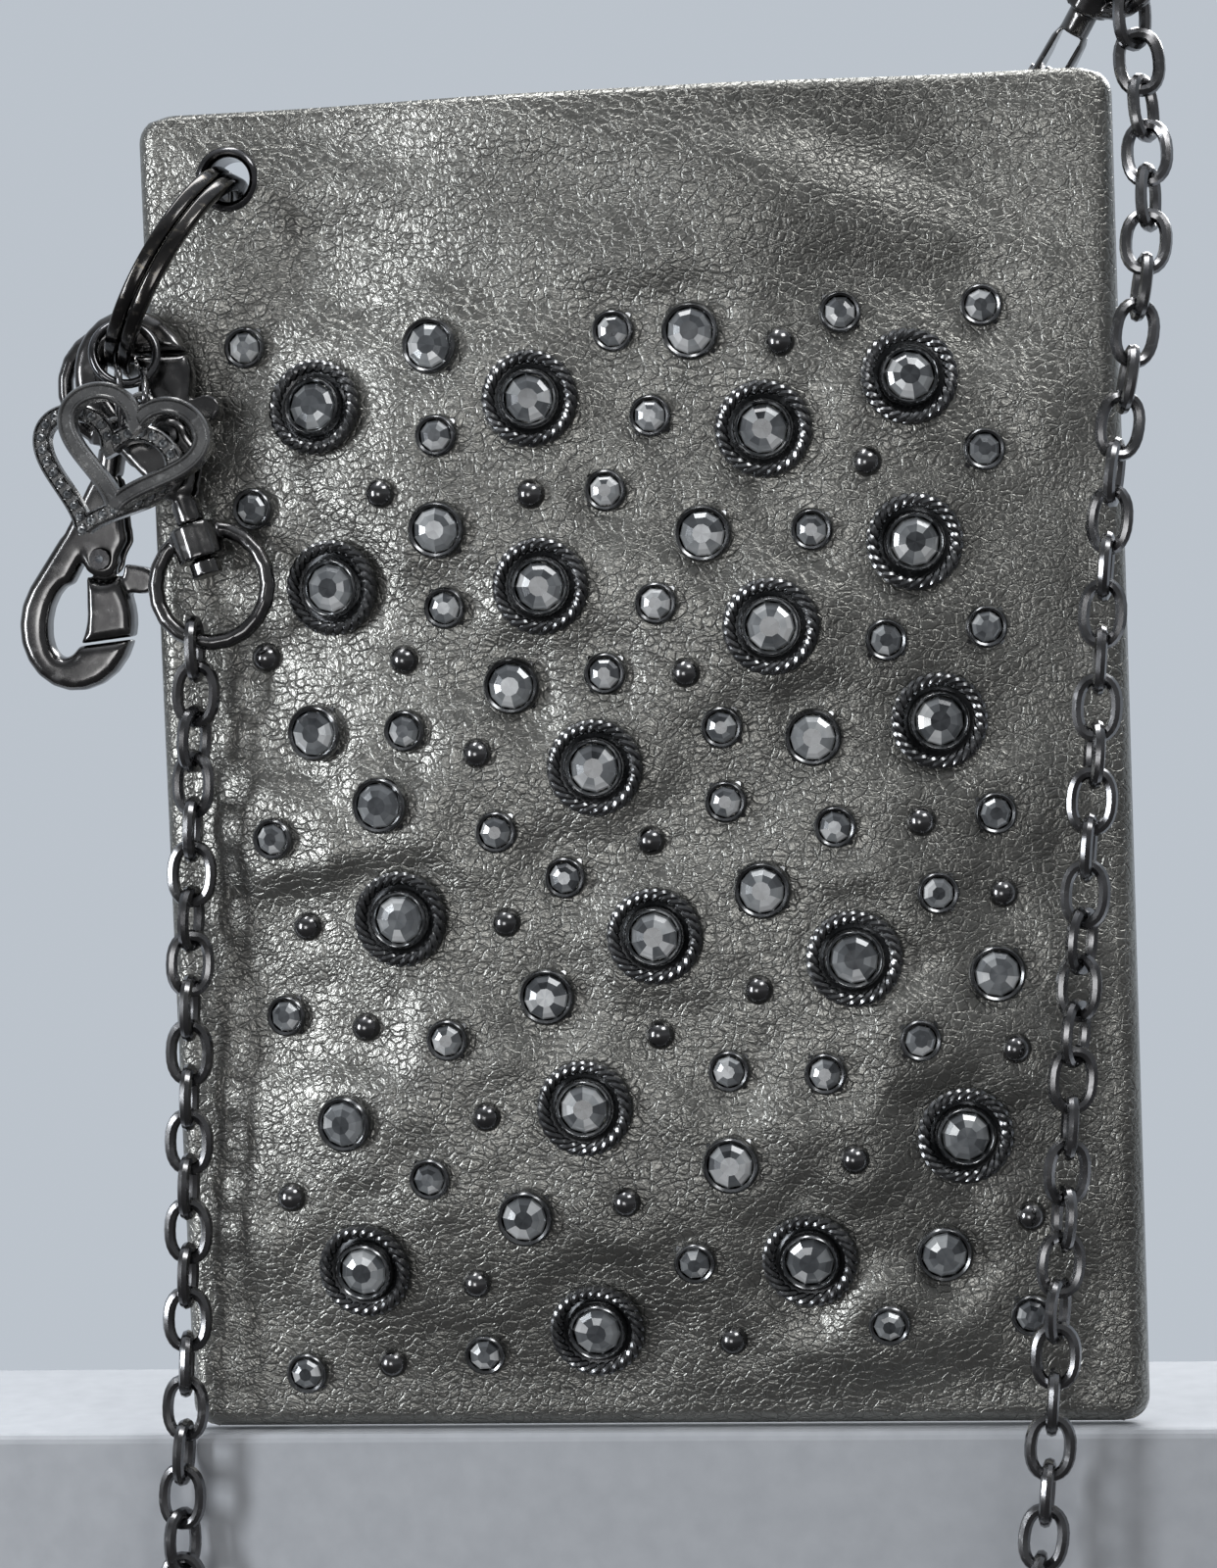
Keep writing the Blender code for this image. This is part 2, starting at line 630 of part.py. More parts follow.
RING_DOWN = Vector((
    -math.sin(RING_LEAN) * math.cos(RING_FORWARD),
    -math.sin(RING_FORWARD),
    -math.cos(RING_LEAN) * math.cos(RING_FORWARD),
))
RING_FRONT = (Vector((0, -1, 0)) - RING_DOWN * Vector((0, -1, 0)).dot(RING_DOWN)).normalized()
RING_AXIS = RING_DOWN.cross(RING_FRONT)
RING_CENTRE = Vector((EYELET_X, 0.0, EYELET_Z)) + RING_RADIUS * RING_DOWN


def ring_out(angle):
    """The direction from the split ring's centre to a place on it, from its lowest one forwards."""
    return RING_DOWN * math.cos(angle) + RING_FRONT * math.sin(angle)


def ring_wire(angle):
    return RING_CENTRE + RING_RADIUS * ring_out(angle)


def build_split_ring():
    """Two flat turns of one wire that change sides at a crossover."""
    half = RING_COIL / 2
    shift = (RING_COIL + RING_COIL_GAP) / 2
    bevel = half * 0.35
    section = (
        (half, half - bevel), (half - bevel, half), (bevel - half, half), (-half, half - bevel),
        (-half, bevel - half), (bevel - half, -half), (half - bevel, -half), (half, bevel - half),
    )
    start, end = RING_CROSSOVER, 4 * math.pi - RING_CROSSOVER
    rings = []
    for turn in np.linspace(start, end, RING_STEPS):
        side = smooth_step((turn - 2 * math.pi + RING_CROSSOVER) / (2 * RING_CROSSOVER)) * 2 - 1
        out = ring_out(turn + RING_CROSSOVER_PLACE)
        rings.append([tuple(out * (RING_RADIUS + r) + RING_AXIS * (a + side * shift)) for r, a in section])
    place = empty("split_ring_axis", RING_CENTRE)
    made = mesh_object("split_ring", *loft(rings), DARK_METAL)
    made.parent = place


# Swivel clasp. In its own frame the claw's far end is at the origin, the shank runs down -Z to the
# neck at -length, the gate is on the +X side and the hole through the claw runs along Y
CLAW_CENTRE = (-CLAW_OFFSET, -CLAW_HALF_HEIGHT)
HOLE_CENTRE = (-HOLE_OFFSET, -CLAW_BAND - HOLE_HALF_HEIGHT)
PIVOT = (PIVOT_ACROSS, -PIVOT_DOWN)


def claw_arc(start, end, steps):
    return arc(CLAW_CENTRE, CLAW_HALF_WIDTH, CLAW_HALF_HEIGHT, start, end, steps)


def hole_arc(start, end, steps):
    return arc(HOLE_CENTRE, HOLE_HALF_WIDTH, HOLE_HALF_HEIGHT, start, end, steps)


def joint_gap(half_width, half_height, angle):
    """The turn in degrees that moves a point along an ellipse by the gap of the gate's joint."""
    slope = math.radians(angle)
    return math.degrees(1.2 * GAP / math.hypot(half_width * math.sin(slope), half_height * math.cos(slope)))


def gate_outline():
    """The gate's full-thickness part: the claw's right side, down to the clearance round the cheeks."""
    hole_end = JOINT_HOLE_ANGLE - joint_gap(HOLE_HALF_WIDTH, HOLE_HALF_HEIGHT, JOINT_HOLE_ANGLE)
    claw_end = JOINT_CLAW_ANGLE - joint_gap(CLAW_HALF_WIDTH, CLAW_HALF_HEIGHT, JOINT_CLAW_ANGLE)
    clear = CHEEK_RADIUS + GAP
    heel = arc(PIVOT, clear, clear, 35, 125, 4)
    return hole_arc(GATE_HOLE_ANGLE, hole_end, 5) + claw_arc(claw_end, GATE_FOOT_ANGLE, 5) + heel


def body_outline(neck_top):
    """The hook, the spine, the cheeks round the pivot and the shoulders down to the neck."""
    shoulder = -PIVOT_DOWN - SHOULDER_DROP
    return (
        claw_arc(JOINT_CLAW_ANGLE, SPINE_ANGLE, 12)
        + [(-SHOULDER_LEFT, shoulder), (-NECK_RADIUS, neck_top), (NECK_RADIUS, neck_top)]
        + [(SHOULDER_RIGHT, shoulder)]
        + arc(PIVOT, CHEEK_RADIUS, CHEEK_RADIUS, -15, 160, 6)
        + hole_arc(HOLE_FLOOR_ANGLE, JOINT_HOLE_ANGLE, 10)
    )


def rod(name, radius, low, high, sides, place, axis=(0, 0, 1)):
    """A round rod along an axis through a place of its parent's frame."""
    angles = np.arange(sides) * 2 * math.pi / sides
    ends = [np.c_[radius * np.cos(angles), radius * np.sin(angles), np.full(sides, z)] for z in (low, high)]
    made = mesh_object(name, *loft(ends), DARK_METAL)
    across = (1, 0, 0) if abs(Vector(axis).x) < abs(Vector(axis).z) + abs(Vector(axis).y) else (0, 0, 1)
    made.matrix_basis = frame_of(place, across, axis)
    return made


def cut_and_join(target, parent, tools):
    for tool, operation in tools:
        tool.parent = parent
        boolean(target, tool, operation)


def clasp_body(prefix, place, length):
    neck_end = BOSS_HEIGHT / 2 + GAP - length
    neck_top = neck_end + NECK_LENGTH
    slab = rounded_plate(body_outline(neck_top), CLASP_THICKNESS / 2, CLASP_EDGE)
    body = mesh_object(f"{prefix}_clasp_body", *slab, DARK_METAL)
    body.parent = place
    neck = rod(f"{prefix}_neck", NECK_RADIUS, neck_end, neck_top + CLASP_EDGE, 12, (0, 0, 0))
    socket_top = neck_end + PIN_SOCKET_DEPTH
    socket = rod(f"{prefix}_socket", PIN_RADIUS + GAP, neck_end - OVERRUN, socket_top, 10, (0, 0, 0))
    left = PIVOT_ACROSS - FOOT_RADIUS - GAP
    far_left, far_right = -CLAW_HALF_WIDTH - OVERRUN, CLAW_HALF_WIDTH + OVERRUN
    top, through_top = CHEEK_RADIUS + GAP - PIVOT_DOWN, -PIVOT_DOWN - THROUGH_SLOT_DROP
    slot_outline = (
        (far_left, neck_top), (far_right, neck_top), (far_right, top + OVERRUN),
        (left, top + OVERRUN), (left, through_top), (far_left, through_top),
    )
    slot = mesh_object(f"{prefix}_slot", *plate(slot_outline, SLOT_WIDTH / 2), DARK_METAL)
    reach = CLASP_THICKNESS
    hole = rod(
        f"{prefix}_rivet_hole", RIVET_RADIUS + GAP, -reach, reach, 12, (PIVOT[0], 0, PIVOT[1]), (0, 1, 0)
    )
    cut_and_join(body, place, (
        (neck, "UNION"), (slot, "DIFFERENCE"), (socket, "DIFFERENCE"), (hole, "DIFFERENCE")
    ))


def about_pivot(outline):
    return [(x - PIVOT[0], z - PIVOT[1]) for x, z in outline]


def clasp_gate(prefix, place):
    """The gate with its thin foot between the cheeks and its thumb pad, turned about the rivet."""
    pivot = empty(f"{prefix}_gate_axis", (PIVOT[0], 0, PIVOT[1]), place)
    slab = rounded_plate(about_pivot(gate_outline()), CLASP_THICKNESS / 2, CLASP_EDGE)
    gate = mesh_object(f"{prefix}_gate", *slab, DARK_METAL)
    gate.parent = pivot
    foot_outline = arc((0, 0), FOOT_RADIUS, FOOT_RADIUS, 150, 390, 8) + [
        (FOOT_RADIUS, FOOT_RISE), (-GAP, FOOT_RISE)
    ]
    foot = mesh_object(f"{prefix}_foot", *plate(foot_outline, FOOT_THICKNESS / 2), DARK_METAL)
    foot.matrix_basis = Matrix.Translation((0, foot_shift(), 0))
    tip = (PAD_REACH - PAD_HALF_HEIGHT - PIVOT_ACROSS, PAD_RISE)
    pad_outline = arc(tip, PAD_HALF_HEIGHT, PAD_HALF_HEIGHT, -90, 90, 6) + [
        (PAD_ROOT, PAD_RISE + PAD_HALF_HEIGHT), (PAD_ROOT, PAD_RISE - PAD_HALF_HEIGHT)
    ]
    pad = mesh_object(f"{prefix}_pad", *plate(pad_outline, PAD_THICKNESS / 2), DARK_METAL)
    reach = CLASP_THICKNESS
    bore = rod(f"{prefix}_gate_bore", RIVET_RADIUS + GAP, -reach, reach, 12, (0, 0, 0), (0, 1, 0))
    cut_and_join(gate, pivot, ((foot, "UNION"), (pad, "UNION"), (bore, "DIFFERENCE")))


def foot_shift():
    """The gate's foot and its spring lie side by side in the slot, a gap from each other and the cheeks."""
    return (FOOT_THICKNESS - SLOT_WIDTH) / 2 + GAP


def clasp_rivet(prefix, place):
    """A hollow rivet with a rolled head outside each cheek."""
    end = CLASP_THICKNESS / 2 + GAP
    head = end + RIVET_HEAD_HEIGHT
    bore = RIVET_BORE_RADIUS
    profile = (
        (bore, -head), (RIVET_HEAD_RADIUS, -head), (RIVET_HEAD_RADIUS, -end), (RIVET_RADIUS, -end),
        (RIVET_RADIUS, end), (RIVET_HEAD_RADIUS, end), (RIVET_HEAD_RADIUS, head), (bore, head),
    )
    made = mesh_object(f"{prefix}_gate_rivet", *hollow_turned(profile, 12), DARK_METAL)
    made.parent = place
    made.matrix_basis = frame_of((PIVOT[0], 0, PIVOT[1]), (1, 0, 0), (0, 1, 0))


def clasp_spring(prefix, place):
    """The small wound spring beside the gate's foot, on the same rivet."""
    inner = RIVET_RADIUS + GAP
    middle = -(foot_shift() + FOOT_THICKNESS / 2 + GAP + SPRING_THICKNESS / 2)
    low, high = middle - SPRING_THICKNESS / 2, middle + SPRING_THICKNESS / 2
    profile = ((inner, low), (SPRING_RADIUS, low), (SPRING_RADIUS, high), (inner, high))
    made = mesh_object(f"{prefix}_gate_spring", *hollow_turned(profile, 12), STEEL_FINISH)
    made.parent = place
    made.matrix_basis = frame_of((PIVOT[0], 0, PIVOT[1]), (1, 0, 0), (0, -1, 0))


def clasp_eye(prefix, place, length, turn):
    """The swivel: a round eye with a drilled boss, on a headed pin that is fixed in the neck."""
    axis = empty(f"{prefix}_eye_axis", (0, 0, -length), place)
    radius = EYE_OUTER_RADIUS - EYE_WIRE_RADIUS
    points, faces = torus(radius, EYE_WIRE_RADIUS, EYE_STEPS, 8)
    points = np.c_[points[:, 0], -points[:, 2], points[:, 1] - EYE_DROP]
    eye = mesh_object(f"{prefix}_eye", points, faces, DARK_METAL)
    half = BOSS_HEIGHT / 2
    boss = rod(f"{prefix}_boss", BOSS_RADIUS, -half, half, 14, (0, 0, 0))
    bore = rod(f"{prefix}_boss_bore", BOSS_BORE_RADIUS, -half - OVERRUN / 2, half + OVERRUN / 2, 10, (0, 0, 0))
    cut_and_join(eye, axis, ((boss, "UNION"), (bore, "DIFFERENCE")))
    for made in (eye, boss, bore):
        made.parent = axis
        made.matrix_basis = Matrix.Rotation(turn, 4, "Z")
    head_top = -length - half - GAP
    head = head_top - PIN_HEAD_HEIGHT
    shaft_top = half + GAP - length + PIN_SOCKET_DEPTH - GAP
    profile = (
        (0, head), (PIN_HEAD_RADIUS, head), (PIN_HEAD_RADIUS, head_top), (PIN_RADIUS, head_top),
        (PIN_RADIUS, shaft_top), (0, shaft_top),
    )
    pin = mesh_object(f"{prefix}_swivel_pin", *turned(profile, 12), DARK_METAL)
    pin.parent = place


def turn_towards(frame, direction):
    """The turn about a frame's Z that brings its X as near as it goes to a direction."""
    local = frame.to_3x3().inverted() @ Vector(direction)
    return math.atan2(local.y, local.x)


def build_clasp(prefix, frame, length, eye_direction):
    """One clasp, its eye's plane turned towards a direction."""
    place = empty(f"{prefix}_clasp", frame)
    clasp_body(prefix, place, length)
    clasp_gate(prefix, place)
    clasp_rivet(prefix, place)
    clasp_spring(prefix, place)
    clasp_eye(prefix, place, length, turn_towards(frame, eye_direction))
    return place


def hooked_frame(wire, across, up):
    """A clasp's frame with a wire's middle in its hole."""
    return frame_of(wire, across, up) @ Matrix.Translation((HOLE_OFFSET, 0, WIRE_DROP))


def left_frame():
    up = Vector((
        -math.sin(LEFT_LEAN) * math.cos(LEFT_FORWARD),
        math.sin(LEFT_FORWARD),
        math.cos(LEFT_LEAN) * math.cos(LEFT_FORWARD),
    ))
    return hooked_frame(ring_wire(LEFT_HANG_ANGLE), (1, 0, 0), up)


def right_frame():
    """Its claw points down to the left, away behind the pouch, with its gate to the back."""
    up = Vector((
        -math.sin(RIGHT_LEAN) * math.cos(RIGHT_FORWARD),
        math.sin(RIGHT_FORWARD),
        -math.cos(RIGHT_LEAN) * math.cos(RIGHT_FORWARD),
    ))
    wire = Vector((BAG_WIDTH / 2 - RIGHT_WIRE_INSET, RIGHT_WIRE_BACK, BAG_HEIGHT - RIGHT_WIRE_DROP))
    return hooked_frame(wire, (0, 1, 0), up)


def build_strap_clasps():
    left = build_clasp("left", left_frame(), STRAP_CLASP_LENGTH, (1, 0, 0))
    right = build_clasp("right", right_frame(), STRAP_CLASP_LENGTH, (0, 0, 1))
    return left, right


def build_key_clasp():
    """Its eye hangs in the split ring beside the pouch's left edge, with its claw at the bottom."""
    up = Vector((-math.sin(KEY_LEAN), 0, -math.cos(KEY_LEAN)))
    eye = ring_wire(KEY_HANG_ANGLE) + Vector((KEY_EYE_SIDE, 0, KEY_EYE_SAG))
    frame = frame_of(eye, (1, 0, 0), up) @ Matrix.Translation((0, 0, KEY_CLASP_LENGTH + EYE_DROP))
    yaw = Vector((math.cos(KEY_EYE_YAW), math.sin(KEY_EYE_YAW), 0))
    build_clasp("key", frame, KEY_CLASP_LENGTH, yaw)


def d_frame():
    """The D-ring's frame: its straight bar along X at the origin, its bow at +Z * D_HEIGHT."""
    clasp = right_frame()
    bow = clasp @ Vector((D_WIRE_SIDE, 0, -D_WIRE_DROP))
    line = clasp.col[1].to_3d()
    level = Vector((0, 1, 0))
    down = line.cross(level)
    down = down if down.z < 0 else -down
    back = bow.y - D_BAR_DEPTH
    bar = bow + down * math.sqrt(D_HEIGHT**2 - back**2) - level * back
    return frame_of(bar, line, bow - bar)


def build_d_ring():
    """A straight bar, two short sides and a half-round bow."""
    place = empty("d_ring_axis", d_frame())
    w, side = D_HALF_WIDTH, D_HEIGHT - D_HALF_WIDTH
    bow = arc((0, side), w, w, 0, 180, 10)
    loop = [(0, 0), (w - D_CORNER, 0), (w, D_CORNER)] + bow + [(-w, D_CORNER), (D_CORNER - w, 0)]
    points = [(x, 0, z) for x, z in loop]
    made = mesh_object("d_ring", *loft(wire_rings(points, D_WIRE_RADIUS, 8, True), along=True), DARK_METAL)
    made.parent = place


def build_d_ring_tab():
    """A leather strip folded round the D-ring's bar, its two legs sewn down on the back panel."""
    place = d_frame()
    bar = place.to_translation()
    line = place.col[0].to_3d()
    out = Vector((0, 1, 0))
    down = line.cross(out)
    down = down if down.z < 0 else -down
    inner = D_WIRE_RADIUS + GAP
    outer = inner + TAB_LEATHER

    def seat(along):
        """How far behind the bar's middle the back panel lies, at a distance down the tab."""
        places = [bar + down * along + line * across for across in (-TAB_HALF_WIDTH, 0, TAB_HALF_WIDTH)]
        return max(half_depth(place.x, place.z) for place in places) - bar.y + TAB_CLEARANCE

    reach = [TAB_LENGTH * share for share in TAB_ROW_SHARES]
    under = [(along, seat(along)) for along in reversed(reach)]
    over = [(along, seat(along) + 2 * TAB_LEATHER) for along in reach[1:]]
    outline = under + arc((0, 0), outer, outer, 260, 90, 8) + over
    points, faces = plate(outline, TAB_HALF_WIDTH)
    tab = mesh_object("d_ring_tab", points, faces, LEATHER_FINISH)
    tab.matrix_world = Matrix.Translation(bar) @ Matrix((down, line, out)).transposed().to_4x4()
    bore = rod("tab_bore", inner, -2 * OVERRUN, 2 * OVERRUN, 12, bar, line)
    boolean(tab, bore, "DIFFERENCE")


HEART_LOBE, HEART_NOTCH, HEART_TIP, HEART_SPAN = 11.93, 5.0, -17.0, 32.0


def heart_centre_line(steps):
    """The classic heart curve, scaled so that its band reaches the heart's width and height."""
    t = np.linspace(0, 2 * math.pi, steps, endpoint=False)
    x = 16 * np.sin(t) ** 3
    z = 13 * np.cos(t) - 5 * np.cos(2 * t) - 2 * np.cos(3 * t) - np.cos(4 * t)
    return np.c_[x * (HEART_WIDTH - HEART_BAND) / HEART_SPAN, heart_height_of(z)]


def heart_height_of(value):
    """The height above the heart's middle of a value of the curve's own scale."""
    scale = (HEART_HEIGHT - HEART_BAND) / (HEART_LOBE - HEART_TIP)
    return (value - (HEART_LOBE + HEART_TIP) / 2) * scale


def heart(name, thickness, place, lean, forward):
    """An open heart of flat band with a small round lug in its notch; gives the lug's highest place."""
    line = heart_centre_line(HEART_STEPS)
    ahead = np.roll(line, -1, 0) - np.roll(line, 1, 0)
    ahead /= np.linalg.norm(ahead, axis=1)[:, None]
    out = np.c_[-ahead[:, 1], ahead[:, 0]]
    half, y = HEART_BAND / 2, thickness / 2
    rings = []
    for i, (point, away) in enumerate(zip(line, out)):
        a, b = point - half * away, point + half * away
        side = math.copysign(1, point[0])
        crosses = min(a[0] * side, b[0] * side) < NOTCH_HALF_WIDTH
        if crosses and i not in (0, HEART_STEPS // 2):
            continue
        rings.append([(a[0], -y, a[1]), (b[0], -y, b[1]), (b[0], y, b[1]), (a[0], y, a[1])])
    made = mesh_object(name, *loft(rings, along=True), ANTIQUE_METAL)
    frame = Matrix.Translation(place) @ Matrix.Rotation(-forward, 4, "X") @ Matrix.Rotation(lean, 4, "Y")
    made.matrix_world = frame
    points, faces = torus(LUG_RADIUS, LUG_WIRE_RADIUS, 14, 6)
    lug = mesh_object(f"{name}_lug", points, faces, ANTIQUE_METAL)
    middle = frame @ Vector((0, 0, heart_height_of(HEART_NOTCH) + half + LUG_RADIUS))
    lug.matrix_world = Matrix.Translation(middle) @ frame.to_3x3().to_4x4() @ Matrix.Rotation(math.pi / 2, 4, "X")
    boolean(made, lug, "UNION")
    return middle + frame.col[2].to_3d() * LUG_RADIUS


def oval_link(name, length, width, wire_radius, frame):
    """A link of round wire with straight sides, from its outer sizes: its length is along the frame's Z."""
    half_width = width / 2 - wire_radius
    straight = length / 2 - wire_radius - half_width
    loop = arc((0, straight), half_width, half_width, 0, 180, 6)
    loop += arc((0, -straight), half_width, half_width, 180, 360, 6)
    points = [(x, 0, z) for x, z in loop]
    made = mesh_object(name, *loft(wire_rings(points, wire_radius, 6, True), along=True), DARK_METAL)
    made.matrix_world = frame
    return made


def charm_link(name, wire, across, lug):
    """A link from the charm ring's wire to a lug's highest place, as long as their distance asks."""
    pull = (lug - wire).normalized()
    ends = CHARM_WIRE_RADIUS + LUG_WIRE_RADIUS + 4 * CHARM_LINK_WIRE + 2 * CHARM_LINK_SLACK
    length = (lug - wire).length + ends
    top = wire - pull * (CHARM_WIRE_RADIUS + 2 * CHARM_LINK_WIRE + CHARM_LINK_SLACK)
    frame = frame_of(top + pull * length / 2, across, pull)
    oval_link(name, length, CHARM_LINK_WIDTH, CHARM_LINK_WIRE, frame)


def build_charms():
    """A round ring on the split ring, with a link down to each heart."""
    wire = ring_wire(CHARM_HANG_ANGLE)
    along = ring_out(CHARM_HANG_ANGLE + math.pi / 2)
    level = Vector((along.x, along.y, 0)).normalized()
    face = (along + level).normalized()
    down = (Vector((0, 0, -1)) + face * face.z).normalized()
    side = face.cross(down)
    middle = wire + down * CHARM_SAG + side * CHARM_SIDE
    hang = empty("charm_hang", wire)
    ring = mesh_object("charm_ring", *torus(CHARM_RING_RADIUS, CHARM_WIRE_RADIUS, 20, 8), DARK_METAL)
    ring.parent = hang
    ring.matrix_basis = Matrix.Translation(-wire) @ frame_of(middle, side, face)
    eyelet = Vector((EYELET_X, 0, EYELET_Z))
    for name, thickness, offset, lean, forward, angle in (
        ("plain", PLAIN_THICKNESS, PLAIN_OFFSET, PLAIN_LEAN, PLAIN_FORWARD, PLAIN_LINK_ANGLE),
        ("pave", PAVE_THICKNESS, PAVE_OFFSET, PAVE_LEAN, PAVE_FORWARD, PAVE_LINK_ANGLE),
    ):
        lug = heart(f"{name}_heart", thickness, eyelet + Vector(offset), lean, forward)
        low = middle + (down * math.cos(angle) + side * math.sin(angle)) * CHARM_RING_RADIUS
        charm_link(f"{name}_link", low, face, lug)


def smooth_route(points, step):
    """Places a step apart along a smooth curve through the route's own points."""
    points = np.asarray(points, float)
    ghost = np.vstack([2 * points[0] - points[1], points, 2 * points[-1] - points[-2]])
    fine = []
    for a, b, c, d in zip(ghost, ghost[1:], ghost[2:], ghost[3:]):
        for t in np.linspace(0, 1, 16, endpoint=False):
            fine.append(
                0.5 * (2 * b + (c - a) * t + (2 * a - 5 * b + 4 * c - d) * t**2 + (3 * b - a - 3 * c + d) * t**3)
            )
    fine = np.vstack([fine, points[-1]])
    run = np.r_[0, np.cumsum(np.linalg.norm(np.diff(fine, axis=0), axis=1))]
    places = np.linspace(0, run[-1], max(int(round(run[-1] / step)), 2) + 1)
    return np.array([np.interp(places, run, fine[:, i]) for i in range(3)]).T, run[-1]


def tube_object(name, points, resolution):
    """A cord's stretch: a curve with a bevel and filled caps."""
    curve = bpy.data.curves.new(name, "CURVE")
    curve.dimensions = "3D"
    curve.bevel_depth = CHAIN_WIDTH / 2
    curve.bevel_resolution = resolution
    curve.use_fill_caps = True
    spline = curve.splines.new("POLY")
    spline.points.add(len(points) - 1)
    for place, point in zip(spline.points, points):
        place.co = (*map(float, point), 1.0)
    curve.materials.append(DARK_METAL)
    made = bpy.data.objects.new(name, curve)
    bpy.context.scene.collection.objects.link(made)
    return made


def hank_route():
    """Long loops that step one layer forwards along each rising run, drawn in at the waist."""
    left_end, right_end = LEFT_STRAND[-1], RIGHT_STRAND[-1]
    centre = (left_end[0] + right_end[0]) / 2
    start = left_end[2] - GAP
    top = start - CHAIN_WIDTH
    low = top - HANK_RUN
    half = HANK_POINTS_PER_LOOP // 2
    run_points, fold_points = half - 5, 5
    waist = HANK_WAIST / 2
    points = [(centre - HANK_HALF_WIDTH, left_end[1], start)]
    layer = (left_end[1] - right_end[1]) / HANK_LOOPS
    for loop in range(HANK_LOOPS):
        depth = left_end[1] - loop * layer
        for i in range(run_points + 1):
            share = i / run_points
            x = waist + (HANK_HALF_WIDTH - waist) * (1 - math.sin(math.pi * share) ** 2)
            points.append((centre - x, depth, top - HANK_RUN * share))
        for i in range(1, fold_points + 1):
            angle = math.pi * i / (fold_points + 1)
            points.append((
                centre - HANK_HALF_WIDTH * math.cos(angle), depth, low - HANK_HALF_WIDTH * math.sin(angle)
            ))
        for i in range(run_points + 1):
            share = i / run_points
            x = waist + (HANK_HALF_WIDTH - waist) * (1 - math.sin(math.pi * share) ** 2)
            points.append((centre + x, depth - layer * smooth_step(share), low + HANK_RUN * share))
        if loop < HANK_LOOPS - 1:
            for i in range(1, fold_points + 1):
                angle = math.pi * i / (fold_points + 1)
                points.append((
                    centre + HANK_HALF_WIDTH * math.cos(angle),
                    depth - layer,
                    top + HANK_HALF_WIDTH * math.sin(angle),
                ))
    points.append((centre + HANK_HALF_WIDTH, right_end[1], start))
    return np.array(points)


def least_self_gap(points):
    """The least distance between stretches of the wound tube that aren't neighbours, less its width."""
    fine = np.vstack([
        np.linspace(a, b, 12, endpoint=False) for a, b in zip(points[:-1], points[1:])
    ])
    run = np.r_[0, np.cumsum(np.linalg.norm(np.diff(fine, axis=0), axis=1))]
    apart = np.linalg.norm(fine[:, None] - fine[None], axis=2)
    apart[np.abs(run[:, None] - run[None]) < 3 * CHAIN_WIDTH] = np.inf
    return apart.min() - CHAIN_WIDTH


def build_end_link(name, clasp, eye, wire_side):
    """An oval link on a clasp's eye, hanging straight down to a strand's end."""
    radius = EYE_OUTER_RADIUS - EYE_WIRE_RADIUS
    middle = clasp.matrix_world @ Vector((0, 0, -STRAP_CLASP_LENGTH - EYE_DROP))
    normal = eye.matrix_world.col[1].to_3d().normalized()
    level = normal.cross(Vector((0, 0, 1))).normalized()
    lowest = normal.cross(level)
    lowest = lowest if lowest.z < 0 else -lowest
    wire = middle + level * wire_side + lowest * math.sqrt(radius**2 - wire_side**2)
    drop = LINK_LENGTH / 2 - 2 * LINK_WIRE_RADIUS - EYE_WIRE_RADIUS - 2 * GAP
    across = Vector((-level.y, level.x, 0))
    frame = frame_of(wire - Vector((0, 0, drop)), across, (0, 0, 1))
    oval_link(name, LINK_LENGTH, CHAIN_WIDTH, LINK_WIRE_RADIUS, frame)


def build_chain(left, right):
    for name, route in (("chain_left_strand", LEFT_STRAND), ("chain_right_strand", RIGHT_STRAND)):
        points, length = smooth_route(route[:-1], STRAND_STEP)
        last = np.subtract(route[-1], route[-2])
        tube_object(name, np.vstack([points, points[-1] + last]), 2)
        print(f"{name} {(length + np.linalg.norm(last)) * 1000:.1f} mm")
    route = hank_route()
    tube_object("chain_hank", route, 1)
    length = np.linalg.norm(np.diff(route, axis=0), axis=1).sum()
    print(f"chain_hank {length * 1000:.1f} mm, least gap to itself {least_self_gap(route) * 1000:.2f} mm")

    bpy.context.view_layer.update()
    build_end_link("chain_end_link_left", left, bpy.data.objects["left_eye"], LEFT_LINK_SIDE)
    build_end_link("chain_end_link_right", right, bpy.data.objects["right_eye"], RIGHT_LINK_SIDE)

    centre_x = (LEFT_STRAND[-1][0] + RIGHT_STRAND[-1][0]) / 2
    layers = LEFT_STRAND[-1][1] - RIGHT_STRAND[-1][1]
    centre_y = LEFT_STRAND[-1][1] - layers / 2
    middle = LEFT_STRAND[-1][2] - GAP - CHAIN_WIDTH - HANK_RUN / 2
    half_x = HANK_WAIST / 2 + CHAIN_WIDTH / 2 + 2 * GAP
    half_y = layers / 2 + CHAIN_WIDTH / 2 + 2 * GAP
    rings = []
    for grow, z in ((0, -1), (1, -1), (1, 1), (0, 1)):
        a, b = half_x + grow * TIE_WALL, half_y + grow * TIE_WALL
        corner = CHAIN_WIDTH / 2 + grow * TIE_WALL
        ring = []
        for sx, sy, start in ((1, 1, 0), (-1, 1, 90), (-1, -1, 180), (1, -1, 270)):
            for t in np.radians(np.linspace(start, start + 90, 4)):
                ring.append((
                    centre_x + sx * (a - corner) + corner * math.cos(t),
                    centre_y + sy * (b - corner) + corner * math.sin(t),
                    middle + z * TIE_HEIGHT / 2,
                ))
        rings.append(ring)
    mesh_object("chain_hank_tie", *loft(rings, along=True), BOARD_FINISH)


